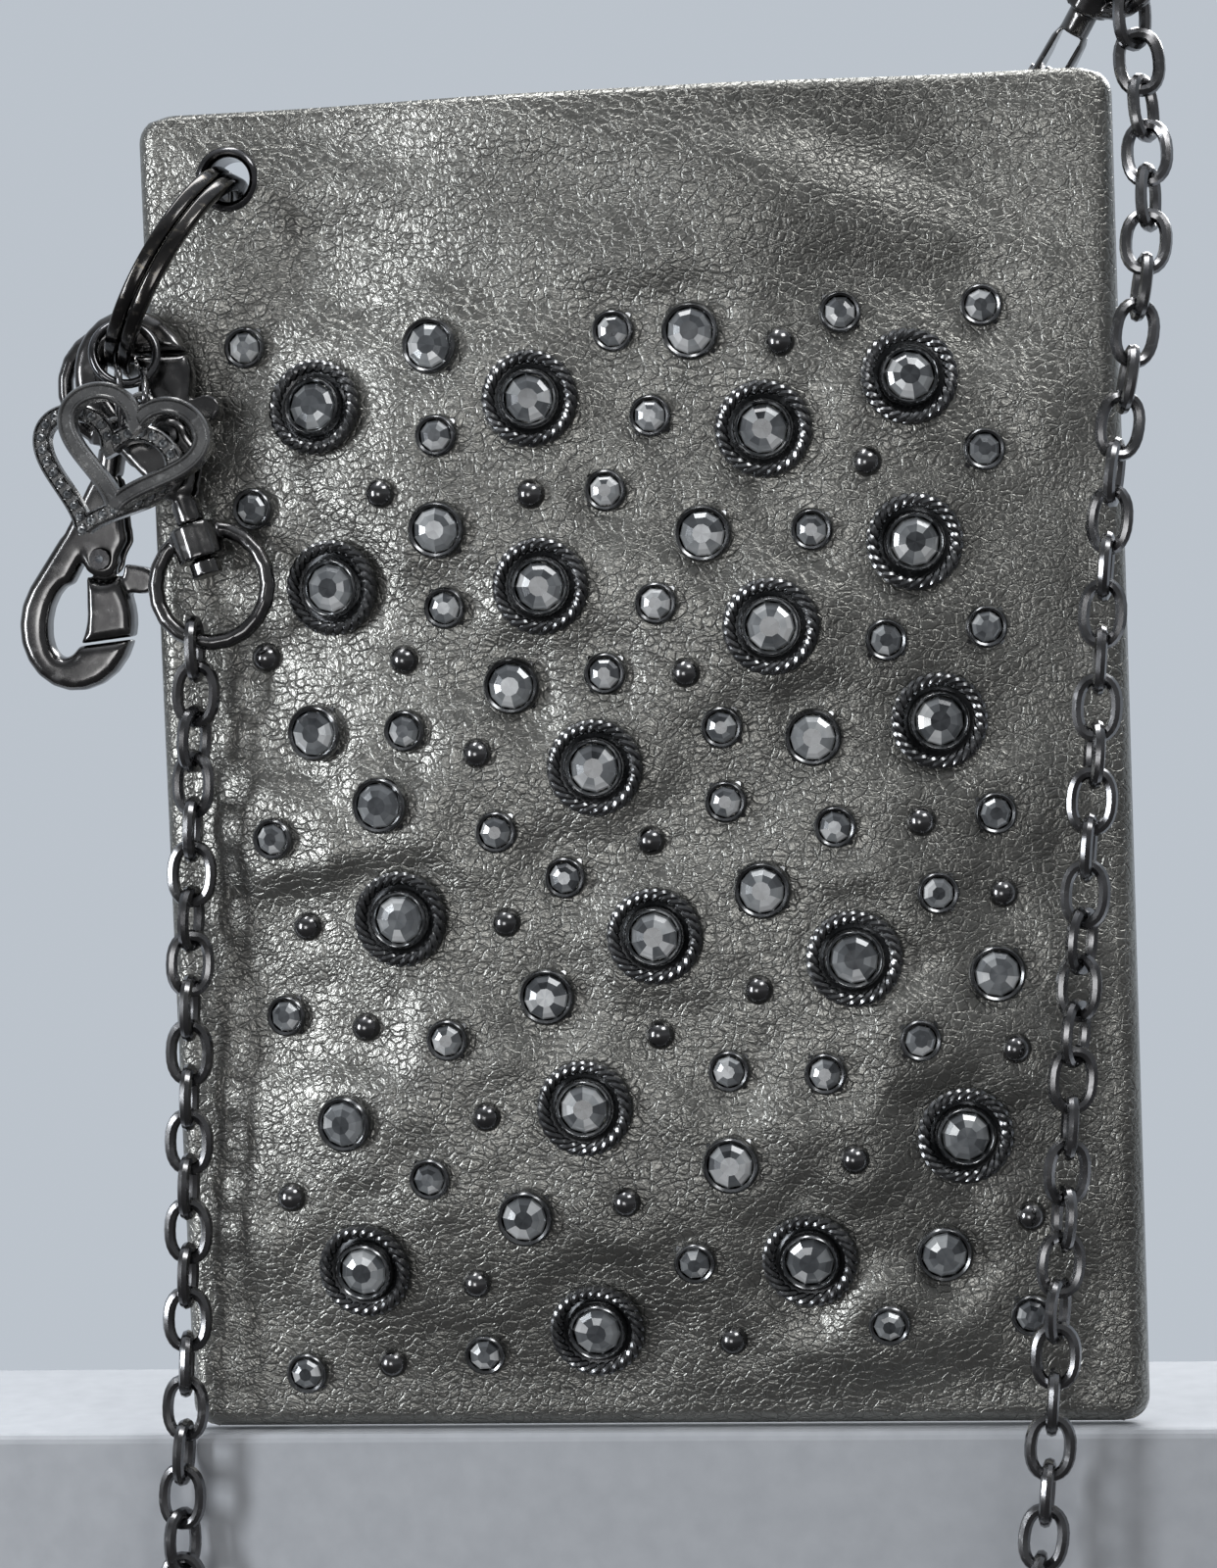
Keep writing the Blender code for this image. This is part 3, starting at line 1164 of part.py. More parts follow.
def build_rope_studs():
    """Eighteen large settings with a corded rim."""
    heights = [ROPE_HEIGHT * s for s in ROPE_RISE_SHARES]
    radii = [ROPE_RADIUS * s for s in ROPE_BEAD_SHARES]
    seat = ROPE_SEAT_GAP
    profile = [(0, seat)] + [(r, h + seat) for r, h in zip(radii, heights)] + [(0, ROPE_HEIGHT + seat)]
    points, faces = turned(profile, ROPE_SIDES)
    shared = None
    for number, pixel in enumerate(ROPE_PIXELS, 1):
        made = mesh_object(f"rope_stud_{number:02d}", points, faces, STONE_FINISH)
        if shared is None:
            shared = made.data
        made.data = shared
        made.matrix_world = stud_frame(pixel)


def clear_scene():
    for old in list(bpy.data.objects):
        bpy.data.objects.remove(old, do_unlink=True)


clear_scene()
LEATHER_FINISH = material("pewter_leather", (0.30, 0.30, 0.28), 0.38, 0.7)
LINING_FINISH = material("lining_fabric", (0.05, 0.05, 0.05), 0.9, 0.0)
BOARD_FINISH = material("board", (0.35, 0.33, 0.30), 0.8, 0.0)
DARK_METAL = material("black_nickel", (0.10, 0.10, 0.11), 0.2, 1.0)
ANTIQUE_METAL = material("antique_silver", (0.30, 0.30, 0.31), 0.35, 1.0)
STEEL_FINISH = material("spring_steel", (0.5, 0.5, 0.5), 0.3, 1.0)
STONE_FINISH = material("set_stone", (0.45, 0.47, 0.47), 0.15, 0.6)

snap_seats = build_pouch()
build_snap(*snap_seats)
build_eyelet()
build_split_ring()
build_key_clasp()
left_clasp, right_clasp = build_strap_clasps()
build_d_ring()
build_d_ring_tab()
build_charms()
build_chain(left_clasp, right_clasp)
build_rope_studs()
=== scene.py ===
"""The looks of the crossbody phone bag: pebbled leather, set stones, cast clasps, hearts and links."""

import math

import bmesh
import bpy
import numpy as np
from mathutils import Matrix, Vector


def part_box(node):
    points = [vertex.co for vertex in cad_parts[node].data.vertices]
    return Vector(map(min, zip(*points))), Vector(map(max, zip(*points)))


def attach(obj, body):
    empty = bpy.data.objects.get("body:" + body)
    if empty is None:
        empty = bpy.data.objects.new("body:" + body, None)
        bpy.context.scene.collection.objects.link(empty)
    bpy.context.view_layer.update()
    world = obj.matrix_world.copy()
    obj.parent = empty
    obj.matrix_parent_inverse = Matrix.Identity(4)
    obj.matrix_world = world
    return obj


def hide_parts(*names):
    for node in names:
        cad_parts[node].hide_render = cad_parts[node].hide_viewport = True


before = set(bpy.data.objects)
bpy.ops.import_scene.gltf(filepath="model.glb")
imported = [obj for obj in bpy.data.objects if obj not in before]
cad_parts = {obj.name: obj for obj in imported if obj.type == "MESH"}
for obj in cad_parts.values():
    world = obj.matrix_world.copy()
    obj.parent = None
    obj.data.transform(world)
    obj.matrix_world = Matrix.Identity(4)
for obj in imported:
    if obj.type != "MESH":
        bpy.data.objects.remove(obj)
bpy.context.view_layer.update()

bpy.context.scene.view_settings.view_transform = "Standard"
random = np.random.default_rng(7)

# Pouch, as the frame has it
BAG_WIDTH = 0.130
BAG_HEIGHT = 0.178
CORNER_RADIUS = 0.0035
SEAM_HALF_DEPTH = 0.0022
BELLY_DEPTH = 0.0044
SEAM_FRONT_EDGE = 0.0004
SEAM_BACK_EDGE = 0.0008
LOW_MARGIN = 0.004
MOUTH_MARGIN = 0.018
SIDE_RAMP = 0.036
BOTTOM_RAMP = 0.034
MARGIN_CHANGE_DROP = 0.050
MARGIN_CHANGE_SPAN = 0.024
LEATHER = 0.0008
GAP = 0.0003

# Eyelet and split ring
EYELET_X = -BAG_WIDTH / 2 + 0.0126
EYELET_Z = BAG_HEIGHT - 0.0089
EYELET_HOLE = 0.0038
RING_RADIUS = 0.0145
RING_COIL = 0.0019
RING_COIL_GAP = 0.0002
RING_LEAN = math.radians(31.7)
RING_FORWARD = math.radians(8.0)
RING_CROSSOVER = math.radians(20.0)
RING_CROSSOVER_PLACE = math.radians(270.0)

# Heart charms
HEART_WIDTH = 0.0210
HEART_HEIGHT = 0.0170
HEART_BAND = 0.0023
HEART_LOBE, HEART_NOTCH, HEART_TIP, HEART_SPAN = 11.93, 5.0, -17.0, 32.0
PLAIN_THICKNESS = 0.0026
PLAIN_PLACE = (-0.0640, -0.0160, 0.1327)
PLAIN_LEAN = math.radians(15.0)
PLAIN_FORWARD = math.radians(8.0)
PAVE_THICKNESS = 0.0022
PAVE_PLACE = (-0.0692, -0.0114, 0.1299)
PAVE_LEAN = math.radians(20.0)
PAVE_FORWARD = math.radians(5.0)
LUG_RADIUS = 0.0015
LUG_WIRE_RADIUS = 0.0005

# Chain: a link's outer sizes, its wire and its pitch, and the routes of the strands
LINK_LENGTH = 0.0092
LINK_WIDTH = 0.0068
LINK_WIRE = 0.000825
LINK_PITCH = 0.0060
FIRST_LINK_PLACE = 0.0010
LEFT_STRAND = (
    (-0.0582, -0.0086, 0.1017), (-0.0589, -0.0083, 0.0935), (-0.0599, -0.0079, 0.0790),
    (-0.0610, -0.0078, 0.0619), (-0.0620, -0.0078, 0.0421), (-0.0634, -0.0078, 0.0155),
    (-0.0642, -0.0080, 0.0030), (-0.0652, -0.0084, -0.0130), (-0.0640, -0.0092, -0.0270),
    (-0.0560, -0.0104, -0.0400), (-0.0410, -0.0116, -0.0490), (-0.0290, -0.0124, -0.0590),
    (-0.0250, -0.0125, -0.0712), (-0.0250, -0.0125, -0.0780),
)
RIGHT_STRAND = (
    (0.0686, -0.0010, 0.1793), (0.0691, -0.0019, 0.1715), (0.0694, -0.0038, 0.1630),
    (0.0690, -0.0059, 0.1560), (0.0680, -0.0078, 0.1480), (0.0664, -0.0090, 0.1390),
    (0.0642, -0.0099, 0.1268), (0.0620, -0.0104, 0.1075), (0.0600, -0.0106, 0.0845),
    (0.0577, -0.0108, 0.0610), (0.0552, -0.0110, 0.0340), (0.0535, -0.0110, 0.0160),
    (0.0520, -0.0110, -0.0016), (0.0500, -0.0118, -0.0170), (0.0440, -0.0185, -0.0310),
    (0.0330, -0.0265, -0.0420), (0.0190, -0.0325, -0.0500), (0.0108, -0.0352, -0.0590),
    (0.0090, -0.0356, -0.0712), (0.0090, -0.0356, -0.0780),
)
HANK_LOOPS = 3
HANK_POINTS_PER_LOOP = 24
HANK_HALF_WIDTH = 0.0170
HANK_WAIST = 0.0090
HANK_RUN = 0.0760

# Studs: places as pixels of a 1242 x 1600 picture, with the front's four corners
CORNER_PIXELS = ((140, 118), (1128, 75), (1183, 1453), (197, 1450))
ROPE_PIXELS = (
    (330, 412), (549, 405), (783, 437), (927, 387), (348, 592), (561, 592),
    (793, 634), (934, 551), (616, 774), (960, 731), (420, 925), (677, 944),
    (878, 969), (607, 1117), (990, 1151), (382, 1282), (617, 1346), (835, 1274),
)
MEDIUM_PIXELS = (
    (448, 352), (709, 339), (456, 535), (723, 541), (530, 692), (330, 738), (835, 746),
    (400, 810), (785, 899), (567, 1005), (1021, 987), (363, 1132), (755, 1176),
    (546, 1228), (970, 1271),
)
SMALL_PIXELS = (
    (254, 350), (631, 338), (857, 322), (999, 314), (455, 441), (669, 423), (1003, 459),
    (265, 512), (625, 497), (832, 538), (463, 613), (677, 610), (1007, 637), (907, 649),
    (625, 680), (423, 736), (743, 735), (747, 810), (516, 838), (289, 844), (858, 836),
    (1018, 825), (585, 885), (961, 904), (299, 1025), (468, 1047), (945, 1052), (752, 1082),
    (850, 1085), (450, 1188), (718, 1276), (916, 1341), (501, 1372), (318, 1391), (1060, 1337),
)
DOME_PIXELS = (
    (798, 350), (886, 470), (397, 498), (549, 500), (276, 662), (420, 665), (706, 680),
    (496, 759), (944, 832), (671, 849), (320, 934), (525, 930), (1027, 906), (381, 1036),
    (781, 1000), (681, 1045), (1042, 1064), (506, 1126), (880, 1172), (304, 1209),
    (648, 1214), (1058, 1236), (494, 1298), (755, 1360), (405, 1382),
)
ROPE_RADIUS = 0.0065
ROPE_STONE_RADIUS = 0.0032
MEDIUM_RADIUS = 0.00385
MEDIUM_STONE_RADIUS = 0.0030
SMALL_RADIUS = 0.00285
SMALL_STONE_RADIUS = 0.0021
DOME_RADIUS = 0.00205


# Grids and meshes

SAME_PLACE = 1e-7

def grid_faces(rows, columns, close_rows=False, close_columns=False):
    """Four-sided faces of a grid of points, row by row; a closed side joins its last line to its first."""
    i = np.arange(rows if close_rows else rows - 1)[:, None]
    j = np.arange(columns if close_columns else columns - 1)[None, :]
    near, far = i * columns, ((i + 1) % rows) * columns
    left, right = j, (j + 1) % columns
    return np.stack([near + left, near + right, far + right, far + left], -1).reshape(-1, 4)


class Piece:
    """Patches of points and faces that become one object, each patch with its material and tone."""

    def __init__(self):
        self.points, self.faces, self.finishes, self.tones, self.count = [], [], [], [], 0

    def add(self, points, faces, finish=0, tone=0.5):
        """One patch: its points, its faces by their own numbers, its finish and its tone or tones."""
        points = np.asarray(points, float).reshape(-1, 3)
        faces = [[int(k) + self.count for k in face] for face in faces]
        self.points.append(points)
        self.faces += faces
        self.finishes += [finish] * len(faces)
        self.tones += list(np.broadcast_to(np.asarray(tone, float), len(faces)))
        self.count += len(points)

    def build(self, name, finishes, sharp=35, smooth=True, flat=None):
        """The object, its doubles merged and its faces turned outwards. Edges over the sharp angle
        stay crisp, and so do all the facets of the flat finish."""
        mesh = bpy.data.meshes.new(name)
        mesh.from_pydata(np.vstack(self.points).tolist(), [], self.faces)
        for finish in finishes:
            mesh.materials.append(finish)
        mesh.polygons.foreach_set("material_index", np.array(self.finishes, np.int32))
        tone = mesh.attributes.new("tone", "FLOAT", "FACE")
        tone.data.foreach_set("value", np.array(self.tones, np.float32))
        work = bmesh.new()
        work.from_mesh(mesh)
        bmesh.ops.remove_doubles(work, verts=work.verts, dist=SAME_PLACE)
        bmesh.ops.recalc_face_normals(work, faces=work.faces)
        work.to_mesh(mesh)
        work.free()
        if smooth:
            mesh.shade_smooth()
            mesh.set_sharp_from_angle(angle=math.radians(sharp))
        if flat is not None:
            for face in mesh.polygons:
                face.use_smooth = face.material_index != flat
        made = bpy.data.objects.new(name, mesh)
        bpy.context.scene.collection.objects.link(made)
        return made


def placed(points, place):
    """Points in a place's own frame, given in the bag's frame."""
    place = np.array(place)
    return np.asarray(points, float) @ place[:3, :3].T + place[:3, 3]


def frame_of(origin, across, up):
    """The frame with +X nearest to across, +Z along up and its origin at origin."""
    z = Vector(up).normalized()
    y = z.cross(Vector(across)).normalized()
    x = y.cross(z)
    return Matrix.Translation(origin) @ Matrix((x, y, z)).transposed().to_4x4()


def revolved(profile, sides):
    """A profile of (radius, height) points carried once round the Z axis, as rings of points."""
    profile = np.array(profile, float)
    turn = np.linspace(0, 2 * math.pi, sides, endpoint=False)
    r, h = profile[:, :1], profile[:, 1:]
    x, y = r * np.cos(turn), r * np.sin(turn)
    points = np.stack([x, y, np.broadcast_to(h, x.shape)], -1).reshape(-1, 3)
    return points, grid_faces(len(profile), sides, close_columns=True)


def swept(path, section, closed=True, up=(0, 1, 0)):
    """A section of (out, up) points carried along a path, square to it."""
    path, section = np.asarray(path, float), np.asarray(section, float)
    if closed:
        ahead = np.roll(path, -1, 0) - np.roll(path, 1, 0)
    else:
        ahead = np.gradient(path, axis=0)
    ahead /= np.linalg.norm(ahead, axis=1)[:, None]
    up = np.broadcast_to(np.asarray(up, float), ahead.shape)
    out = np.cross(ahead, up)
    out /= np.linalg.norm(out, axis=1)[:, None]
    rise = np.cross(out, ahead)
    points = path[:, None] + out[:, None] * section[None, :, :1] + rise[:, None] * section[None, :, 1:]
    faces = grid_faces(len(path), len(section), closed, True)
    caps = []
    if not closed:
        count = len(section)
        caps = [list(range(count)), list(range((len(path) - 1) * count, len(path) * count))]
    return points.reshape(-1, 3), [*faces.tolist(), *caps]


def round_section(radius, sides):
    """A circle of points, for a round wire."""
    turn = np.linspace(0, 2 * math.pi, sides, endpoint=False)
    return np.c_[np.cos(turn), np.sin(turn)] * radius


# Materials


class Nodes:
    """A node tree with short calls for nodes, links and values."""

    def __init__(self, tree):
        self.tree = tree

    def feed(self, node, values):
        """Gives a node's inputs their values; an output of another node is linked instead."""
        for name, value in dict(values).items():
            socket = node.inputs[name]
            if isinstance(value, bpy.types.NodeSocket):
                self.tree.links.new(value, socket)
            else:
                socket.default_value = value

    def add(self, kind, values=(), **settings):
        """A new node of a kind, with its settings and its inputs' values."""
        made = self.tree.nodes.new(kind)
        for name, value in settings.items():
            setattr(made, name, value)
        self.feed(made, values)
        return made

    def sum(self, operation, a, b):
        """Two values brought together by an operation."""
        return self.add("ShaderNodeMath", {0: a, 1: b}, operation=operation).outputs[0]

    def weighed(self, *terms):
        """The sum of values, each times its share."""
        total = None
        for value, share in terms:
            part = self.sum("MULTIPLY", value, share)
            total = part if total is None else self.sum("ADD", total, part)
        return total

    def ramp(self, share, low, high):
        """A share from 0 to 1 carried from low to high."""
        return self.add("ShaderNodeMapRange", {"Value": share, "To Min": low, "To Max": high}).outputs[0]

    def rise(self, value, start, end, most=1.0):
        """Nothing up to start, then a straight rise to most at end."""
        span = {"Value": value, "From Min": start, "From Max": end, "To Max": most}
        return self.add("ShaderNodeMapRange", span).outputs[0]

    def noise(self, place, scale, detail, output=0):
        """Soft noise with so many waves to the metre."""
        texture = self.add("ShaderNodeTexNoise", {"Vector": place, "Scale": scale, "Detail": detail})
        return texture.outputs[output]

    def cell_edge(self, place, scale):
        """How far a place is from the edge of its cell, in cell widths."""
        span = {"Vector": place, "Scale": scale}
        return self.add("ShaderNodeTexVoronoi", span, feature="DISTANCE_TO_EDGE").outputs[0]

    def bump(self, height, distance, strength=1.0):
        """The surface's way once a height from 0 to 1 stands the distance out of it."""
        span = {"Height": height, "Distance": distance, "Strength": strength}
        return self.add("ShaderNodeBump", span).outputs[0]

    def mixed(self, share, a, b):
        """Colour a, turning to colour b with the share."""
        return self.add("ShaderNodeMix", {0: share, 6: a, 7: b}, data_type="RGBA").outputs[2]

    def colours(self, share, stops):
        """Colours that blend from stop to stop along the share."""
        made = self.add("ShaderNodeValToRGB", {"Fac": share})
        while len(made.color_ramp.elements) < len(stops):
            made.color_ramp.elements.new(0.5)
        for element, (place, colour) in zip(made.color_ramp.elements, stops):
            element.position = place
            element.color = (*colour, 1.0)
        return made.outputs[0]


def shader_of(name):
    """A new material, its nodes and its shader."""
    made = bpy.data.materials.new(name)
    made.use_nodes = True
    return made, Nodes(made.node_tree), made.node_tree.nodes["Principled BSDF"]


def group_of(name, inputs, outputs):
    """A new node group with its named inputs and outputs."""
    tree = bpy.data.node_groups.new(name, "ShaderNodeTree")
    for label, value in inputs:
        socket = tree.interface.new_socket(label, in_out="INPUT", socket_type="NodeSocketFloat")
        socket.default_value = value
    for label in outputs:
        tree.interface.new_socket(label, in_out="OUTPUT", socket_type="NodeSocketFloat")
    nodes = Nodes(tree)
    return tree, nodes, nodes.add("NodeGroupInput"), nodes.add("NodeGroupOutput")


GRAIN_CELLS = 820.0
GRAIN_STRETCH = (0.80, 1.0, 1.10)
GRAIN_BEND = 0.0022
PORES_ACROSS_CELL = 2.3
CREASE_HALF_WIDTH, CROWN_REACH, PORE_REACH = 0.11, 0.34, 0.22
CREASE_SHARE, CROWN_SHARE, PORE_SHARE, GRIT_SHARE = 0.62, 0.26, 0.22, 0.12


def pebble_group():
    """Pebbled grain: cells that rise from their creases to a crown, with finer cells inside them and
    grit over all. Noise bends the cells, and a wider noise fills their creases where it is high."""
    tree, nodes, given, result = group_of(
        "pebble_grain", (("Cells", GRAIN_CELLS),), ("Height", "Crease", "Cloud")
    )
    place = nodes.add("ShaderNodeTexCoord").outputs["Object"]
    bend = nodes.noise(place, 330.0, 3.0, "Color")
    shift = nodes.add("ShaderNodeVectorMath", {0: bend, 1: (0.5, 0.5, 0.5)}, operation="SUBTRACT")
    shift = nodes.add("ShaderNodeVectorMath", {0: shift.outputs[0], "Scale": GRAIN_BEND}, operation="SCALE")
    bent = nodes.add("ShaderNodeVectorMath", {0: place, 1: shift.outputs[0]}, operation="ADD").outputs[0]
    wide = nodes.add("ShaderNodeMapping", {"Vector": bent, "Scale": GRAIN_STRETCH}).outputs[0]
    edge = nodes.cell_edge(wide, given.outputs["Cells"])
    fine_edge = nodes.cell_edge(wide, nodes.sum("MULTIPLY", given.outputs["Cells"], PORES_ACROSS_CELL))
    filled = nodes.rise(nodes.noise(place, 300.0, 2.0), 0.45, 0.70, 0.6)
    open_crease = nodes.rise(edge, 0.0, CREASE_HALF_WIDTH)
    crease = nodes.add("ShaderNodeMix", {"Factor": filled, "A": open_crease, "B": 1.0}).outputs[0]
    height = nodes.weighed(
        (crease, CREASE_SHARE),
        (nodes.rise(edge, 0.0, CROWN_REACH), CROWN_SHARE),
        (nodes.rise(fine_edge, 0.0, PORE_REACH), PORE_SHARE),
        (nodes.noise(place, 5200.0, 2.0), GRIT_SHARE),
    )
    nodes.feed(result, {"Height": height, "Crease": crease, "Cloud": nodes.noise(place, 42.0, 3.0)})
    return tree


POLISH_GRAIN = 900.0
POLISH_DEPTH = 0.00001
SCUFF_ROUGHNESS = 0.16


def wear_group():
    """Fine wear on polished metal: soft clouds, and small scuffs that a threshold cuts from noise."""
    tree, nodes, given, result = group_of(
        "polish_wear", (("Grain", POLISH_GRAIN),), ("Cloud", "Scuff", "Height")
    )
    place = nodes.add("ShaderNodeTexCoord").outputs["Object"]
    scuff = nodes.noise(place, given.outputs["Grain"], 5.0)
    cloud = nodes.noise(place, 210.0, 4.0)
    nodes.feed(result, {"Cloud": cloud, "Scuff": nodes.rise(scuff, 0.56, 0.74), "Height": scuff})
    return tree


PEBBLES = pebble_group()
WEAR = wear_group()


def leather_finish(name, dark, light, depth):
    """Metallic coated leather: painted shade darkens its colour in the creases, its tone varies in soft
    clouds, and its pebbles are smoother than the creases.
    """
    made, nodes, shader = shader_of(name)
    grain = nodes.add("ShaderNodeGroup", {"Cells": GRAIN_CELLS}, node_tree=PEBBLES).outputs
    # Painted shade: the colour is darker in the creases; the clouds are random tone.
    crease_shade, cloud = nodes.ramp(grain["Crease"], 0.25, 0.42), nodes.ramp(grain["Cloud"], -0.15, 0.45)
    nodes.feed(shader, {
        "Base Color": nodes.colours(nodes.sum("ADD", crease_shade, cloud), ((0.15, dark), (0.85, light))),
        "Roughness": nodes.ramp(grain["Crease"], 0.40, 0.29),
        "Normal": nodes.bump(grain["Height"], depth),
        "Metallic": 0.92,
    })
    return made


def metal_finish(name, dark, light, roughness, grain=POLISH_GRAIN, depth=POLISH_DEPTH, worn=None):
    """Polished plated metal with faint clouds and scuffs, which may show a worn colour."""
    made, nodes, shader = shader_of(name)
    wear = nodes.add("ShaderNodeGroup", {"Grain": grain}, node_tree=WEAR).outputs
    colour = nodes.colours(wear["Cloud"], ((0.3, dark), (0.7, light)))
    if worn:
        colour = nodes.mixed(wear["Scuff"], colour, (*worn, 1.0))
    nodes.feed(shader, {
        "Base Color": colour,
        "Roughness": nodes.ramp(wear["Scuff"], roughness, roughness + SCUFF_ROUGHNESS),
        "Normal": nodes.bump(wear["Height"], depth),
        "Metallic": 1.0,
    })
    return made


def stone_finish():
    """Foil-backed cut stone: each facet's colour is set by its tone, a painted reflection, under a clear
    gloss.
    """
    made, nodes, shader = shader_of("cut_stone")
    tone = nodes.add("ShaderNodeAttribute", attribute_name="tone").outputs["Fac"]
    place = nodes.add("ShaderNodeTexCoord").outputs["Object"]
    # Painted reflection: the facet's tone, with a little random tone added, picks its colour.
    share = nodes.sum("ADD", tone, nodes.ramp(nodes.noise(place, 700.0, 1.0), -0.12, 0.12))
    nodes.feed(shader, {
        "Base Color": nodes.colours(share, (
            (0.0, (0.025, 0.028, 0.032)), (0.35, (0.14, 0.15, 0.16)),
            (0.7, (0.42, 0.44, 0.45)), (1.0, (0.86, 0.87, 0.87)),
        )),
        "Metallic": 0.25, "Roughness": 0.18,
        "Coat Weight": 0.8, "Coat Roughness": 0.06, "Coat IOR": 1.6,
    })
    return made


WEAVE_SCALE = 520.0
WEAVE_DEPTH = 0.00008


def cloth_finish(name, dark, light):
    """A plain weave: two crossed waves of threads, soft and matt."""
    made, nodes, shader = shader_of(name)
    place = nodes.add("ShaderNodeTexCoord").outputs["Object"]
    turn = nodes.add("ShaderNodeMapping", {"Vector": place, "Scale": (1.0, 0.0, 0.0)}).outputs[0]
    warp = nodes.add("ShaderNodeTexWave", {"Vector": turn, "Scale": WEAVE_SCALE}, bands_direction="X")
    weft = nodes.add("ShaderNodeTexWave", {"Vector": place, "Scale": WEAVE_SCALE}, bands_direction="Z")
    height = nodes.sum("MULTIPLY", warp.outputs["Fac"], weft.outputs["Fac"])
    nodes.feed(shader, {
        "Base Color": nodes.colours(height, ((0.0, dark), (1.0, light))),
        "Normal": nodes.bump(height, WEAVE_DEPTH, 0.8),
        "Roughness": 0.85, "Sheen Weight": 0.2,
    })
    return made


PEWTER_LEATHER = leather_finish("pewter_leather_front", (0.09, 0.089, 0.084), (0.42, 0.418, 0.39), 0.00010)
BLACK_NICKEL = metal_finish("black_nickel_polish", (0.11, 0.11, 0.115), (0.20, 0.20, 0.205), 0.16)
LINK_NICKEL = metal_finish("black_nickel_links", (0.17, 0.17, 0.175), (0.27, 0.27, 0.275), 0.21)
RING_NICKEL = metal_finish(
    "black_nickel_ring", (0.05, 0.05, 0.052), (0.11, 0.105, 0.10), 0.14, worn=(0.20, 0.18, 0.15)
)
CAST_NICKEL = metal_finish("black_nickel_cast", (0.10, 0.099, 0.10), (0.22, 0.217, 0.215), 0.18, grain=620.0)
ANTIQUE = metal_finish(
    "antique_silver_heart", (0.20, 0.20, 0.202), (0.44, 0.44, 0.435), 0.24, grain=1500.0, depth=0.00002
)
SETTING = metal_finish("dark_setting", (0.13, 0.133, 0.137), (0.27, 0.275, 0.28), 0.20)
HEMATITE = metal_finish("hematite_dome", (0.16, 0.16, 0.163), (0.26, 0.26, 0.262), 0.17)
STONE = stone_finish()
SPRING = metal_finish("spring_wire", (0.40, 0.40, 0.40), (0.55, 0.55, 0.55), 0.25)
LINING_CLOTH = cloth_finish("lining_weave", (0.015, 0.015, 0.016), (0.05, 0.05, 0.052))
BOARD = cloth_finish("board_and_tie", (0.10, 0.095, 0.09), (0.22, 0.21, 0.20))


def finished(made, body, slot, *nodes):
    """Attaches a piece to its body and hides the nodes that it stands for; the slot is not used."""
    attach(made, body)
    if nodes:
        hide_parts(*nodes)
    return made


# The camera, the light and what the bag rests on

EYE = Vector((0.0695, -0.5184, 0.1171))
AZIMUTH, ELEVATION, ROLL = 0.1416, 0.0582, -0.0371
LENS, SENSOR = 90.0, 36.0


def make_camera():
    """The camera stands at the eye, turned by its azimuth and elevation, then rolled."""
    back = Vector((
        math.sin(AZIMUTH) * math.cos(ELEVATION), -math.cos(AZIMUTH) * math.cos(ELEVATION), math.sin(ELEVATION)
    ))
    right = Vector((math.cos(AZIMUTH), math.sin(AZIMUTH), 0.0))
    up = back.cross(right)
    right, up = (
        right * math.cos(ROLL) + up * math.sin(ROLL),
        up * math.cos(ROLL) - right * math.sin(ROLL),
    )
    lens = bpy.data.cameras.new("camera")
    lens.lens = LENS
    lens.sensor_fit = "VERTICAL"
    lens.sensor_height = SENSOR
    lens.clip_start = 0.01
    made = bpy.data.objects.new("camera", lens)
    bpy.context.scene.collection.objects.link(made)
    made.matrix_world = Matrix.Translation(EYE) @ Matrix((right, up, back)).transposed().to_4x4()
    bpy.context.scene.camera = made


def lamp(name, place, aim, size, power, colour):
    """A rectangular lamp at a place, turned to its aim."""
    light = bpy.data.lights.new(name, "AREA")
    light.shape = "RECTANGLE"
    light.size, light.size_y = size
    light.energy = power
    light.color = colour
    made = bpy.data.objects.new(name, light)
    bpy.context.scene.collection.objects.link(made)
    away = Vector(place) - Vector(aim)
    made.matrix_world = Matrix.Translation(place) @ away.to_track_quat("Z", "Y").to_matrix().to_4x4()


BACKDROP = (0.50, 0.545, 0.60, 1.0)


def make_world():
    """Pale all round to the eye; the light it gives is brighter above and dim in front of the bag."""
    world = bpy.data.worlds.new("studio")
    bpy.context.scene.world = world
    world.use_nodes = True
    nodes = Nodes(world.node_tree)
    way = nodes.add("ShaderNodeTexCoord").outputs["Generated"]
    parts = nodes.add("ShaderNodeSeparateXYZ", {0: way}).outputs
    height = nodes.sum("ADD", nodes.sum("MULTIPLY", parts["Z"], 0.5), 0.5)
    sky = nodes.colours(height, (
        (0.0, (0.05, 0.05, 0.052)), (0.42, (0.10, 0.10, 0.105)), (0.52, (0.20, 0.205, 0.215)),
        (0.78, (0.13, 0.135, 0.14)), (1.0, (0.58, 0.60, 0.64)),
    ))
    lit = nodes.mixed(nodes.rise(parts["Y"], -0.2, 0.5), sky, BACKDROP)
    camera_ray = nodes.add("ShaderNodeLightPath").outputs["Is Camera Ray"]
    shown = nodes.mixed(camera_ray, lit, BACKDROP)
    nodes.feed(world.node_tree.nodes["Background"], {"Color": shown})


STAGE_FRONT, STAGE_BACK = -0.0040, 0.040
STAGE_SIDE, STAGE_LOW, STAGE_TOP = 0.30, -0.30, -0.0003
STAGE_EDGE = 0.0012


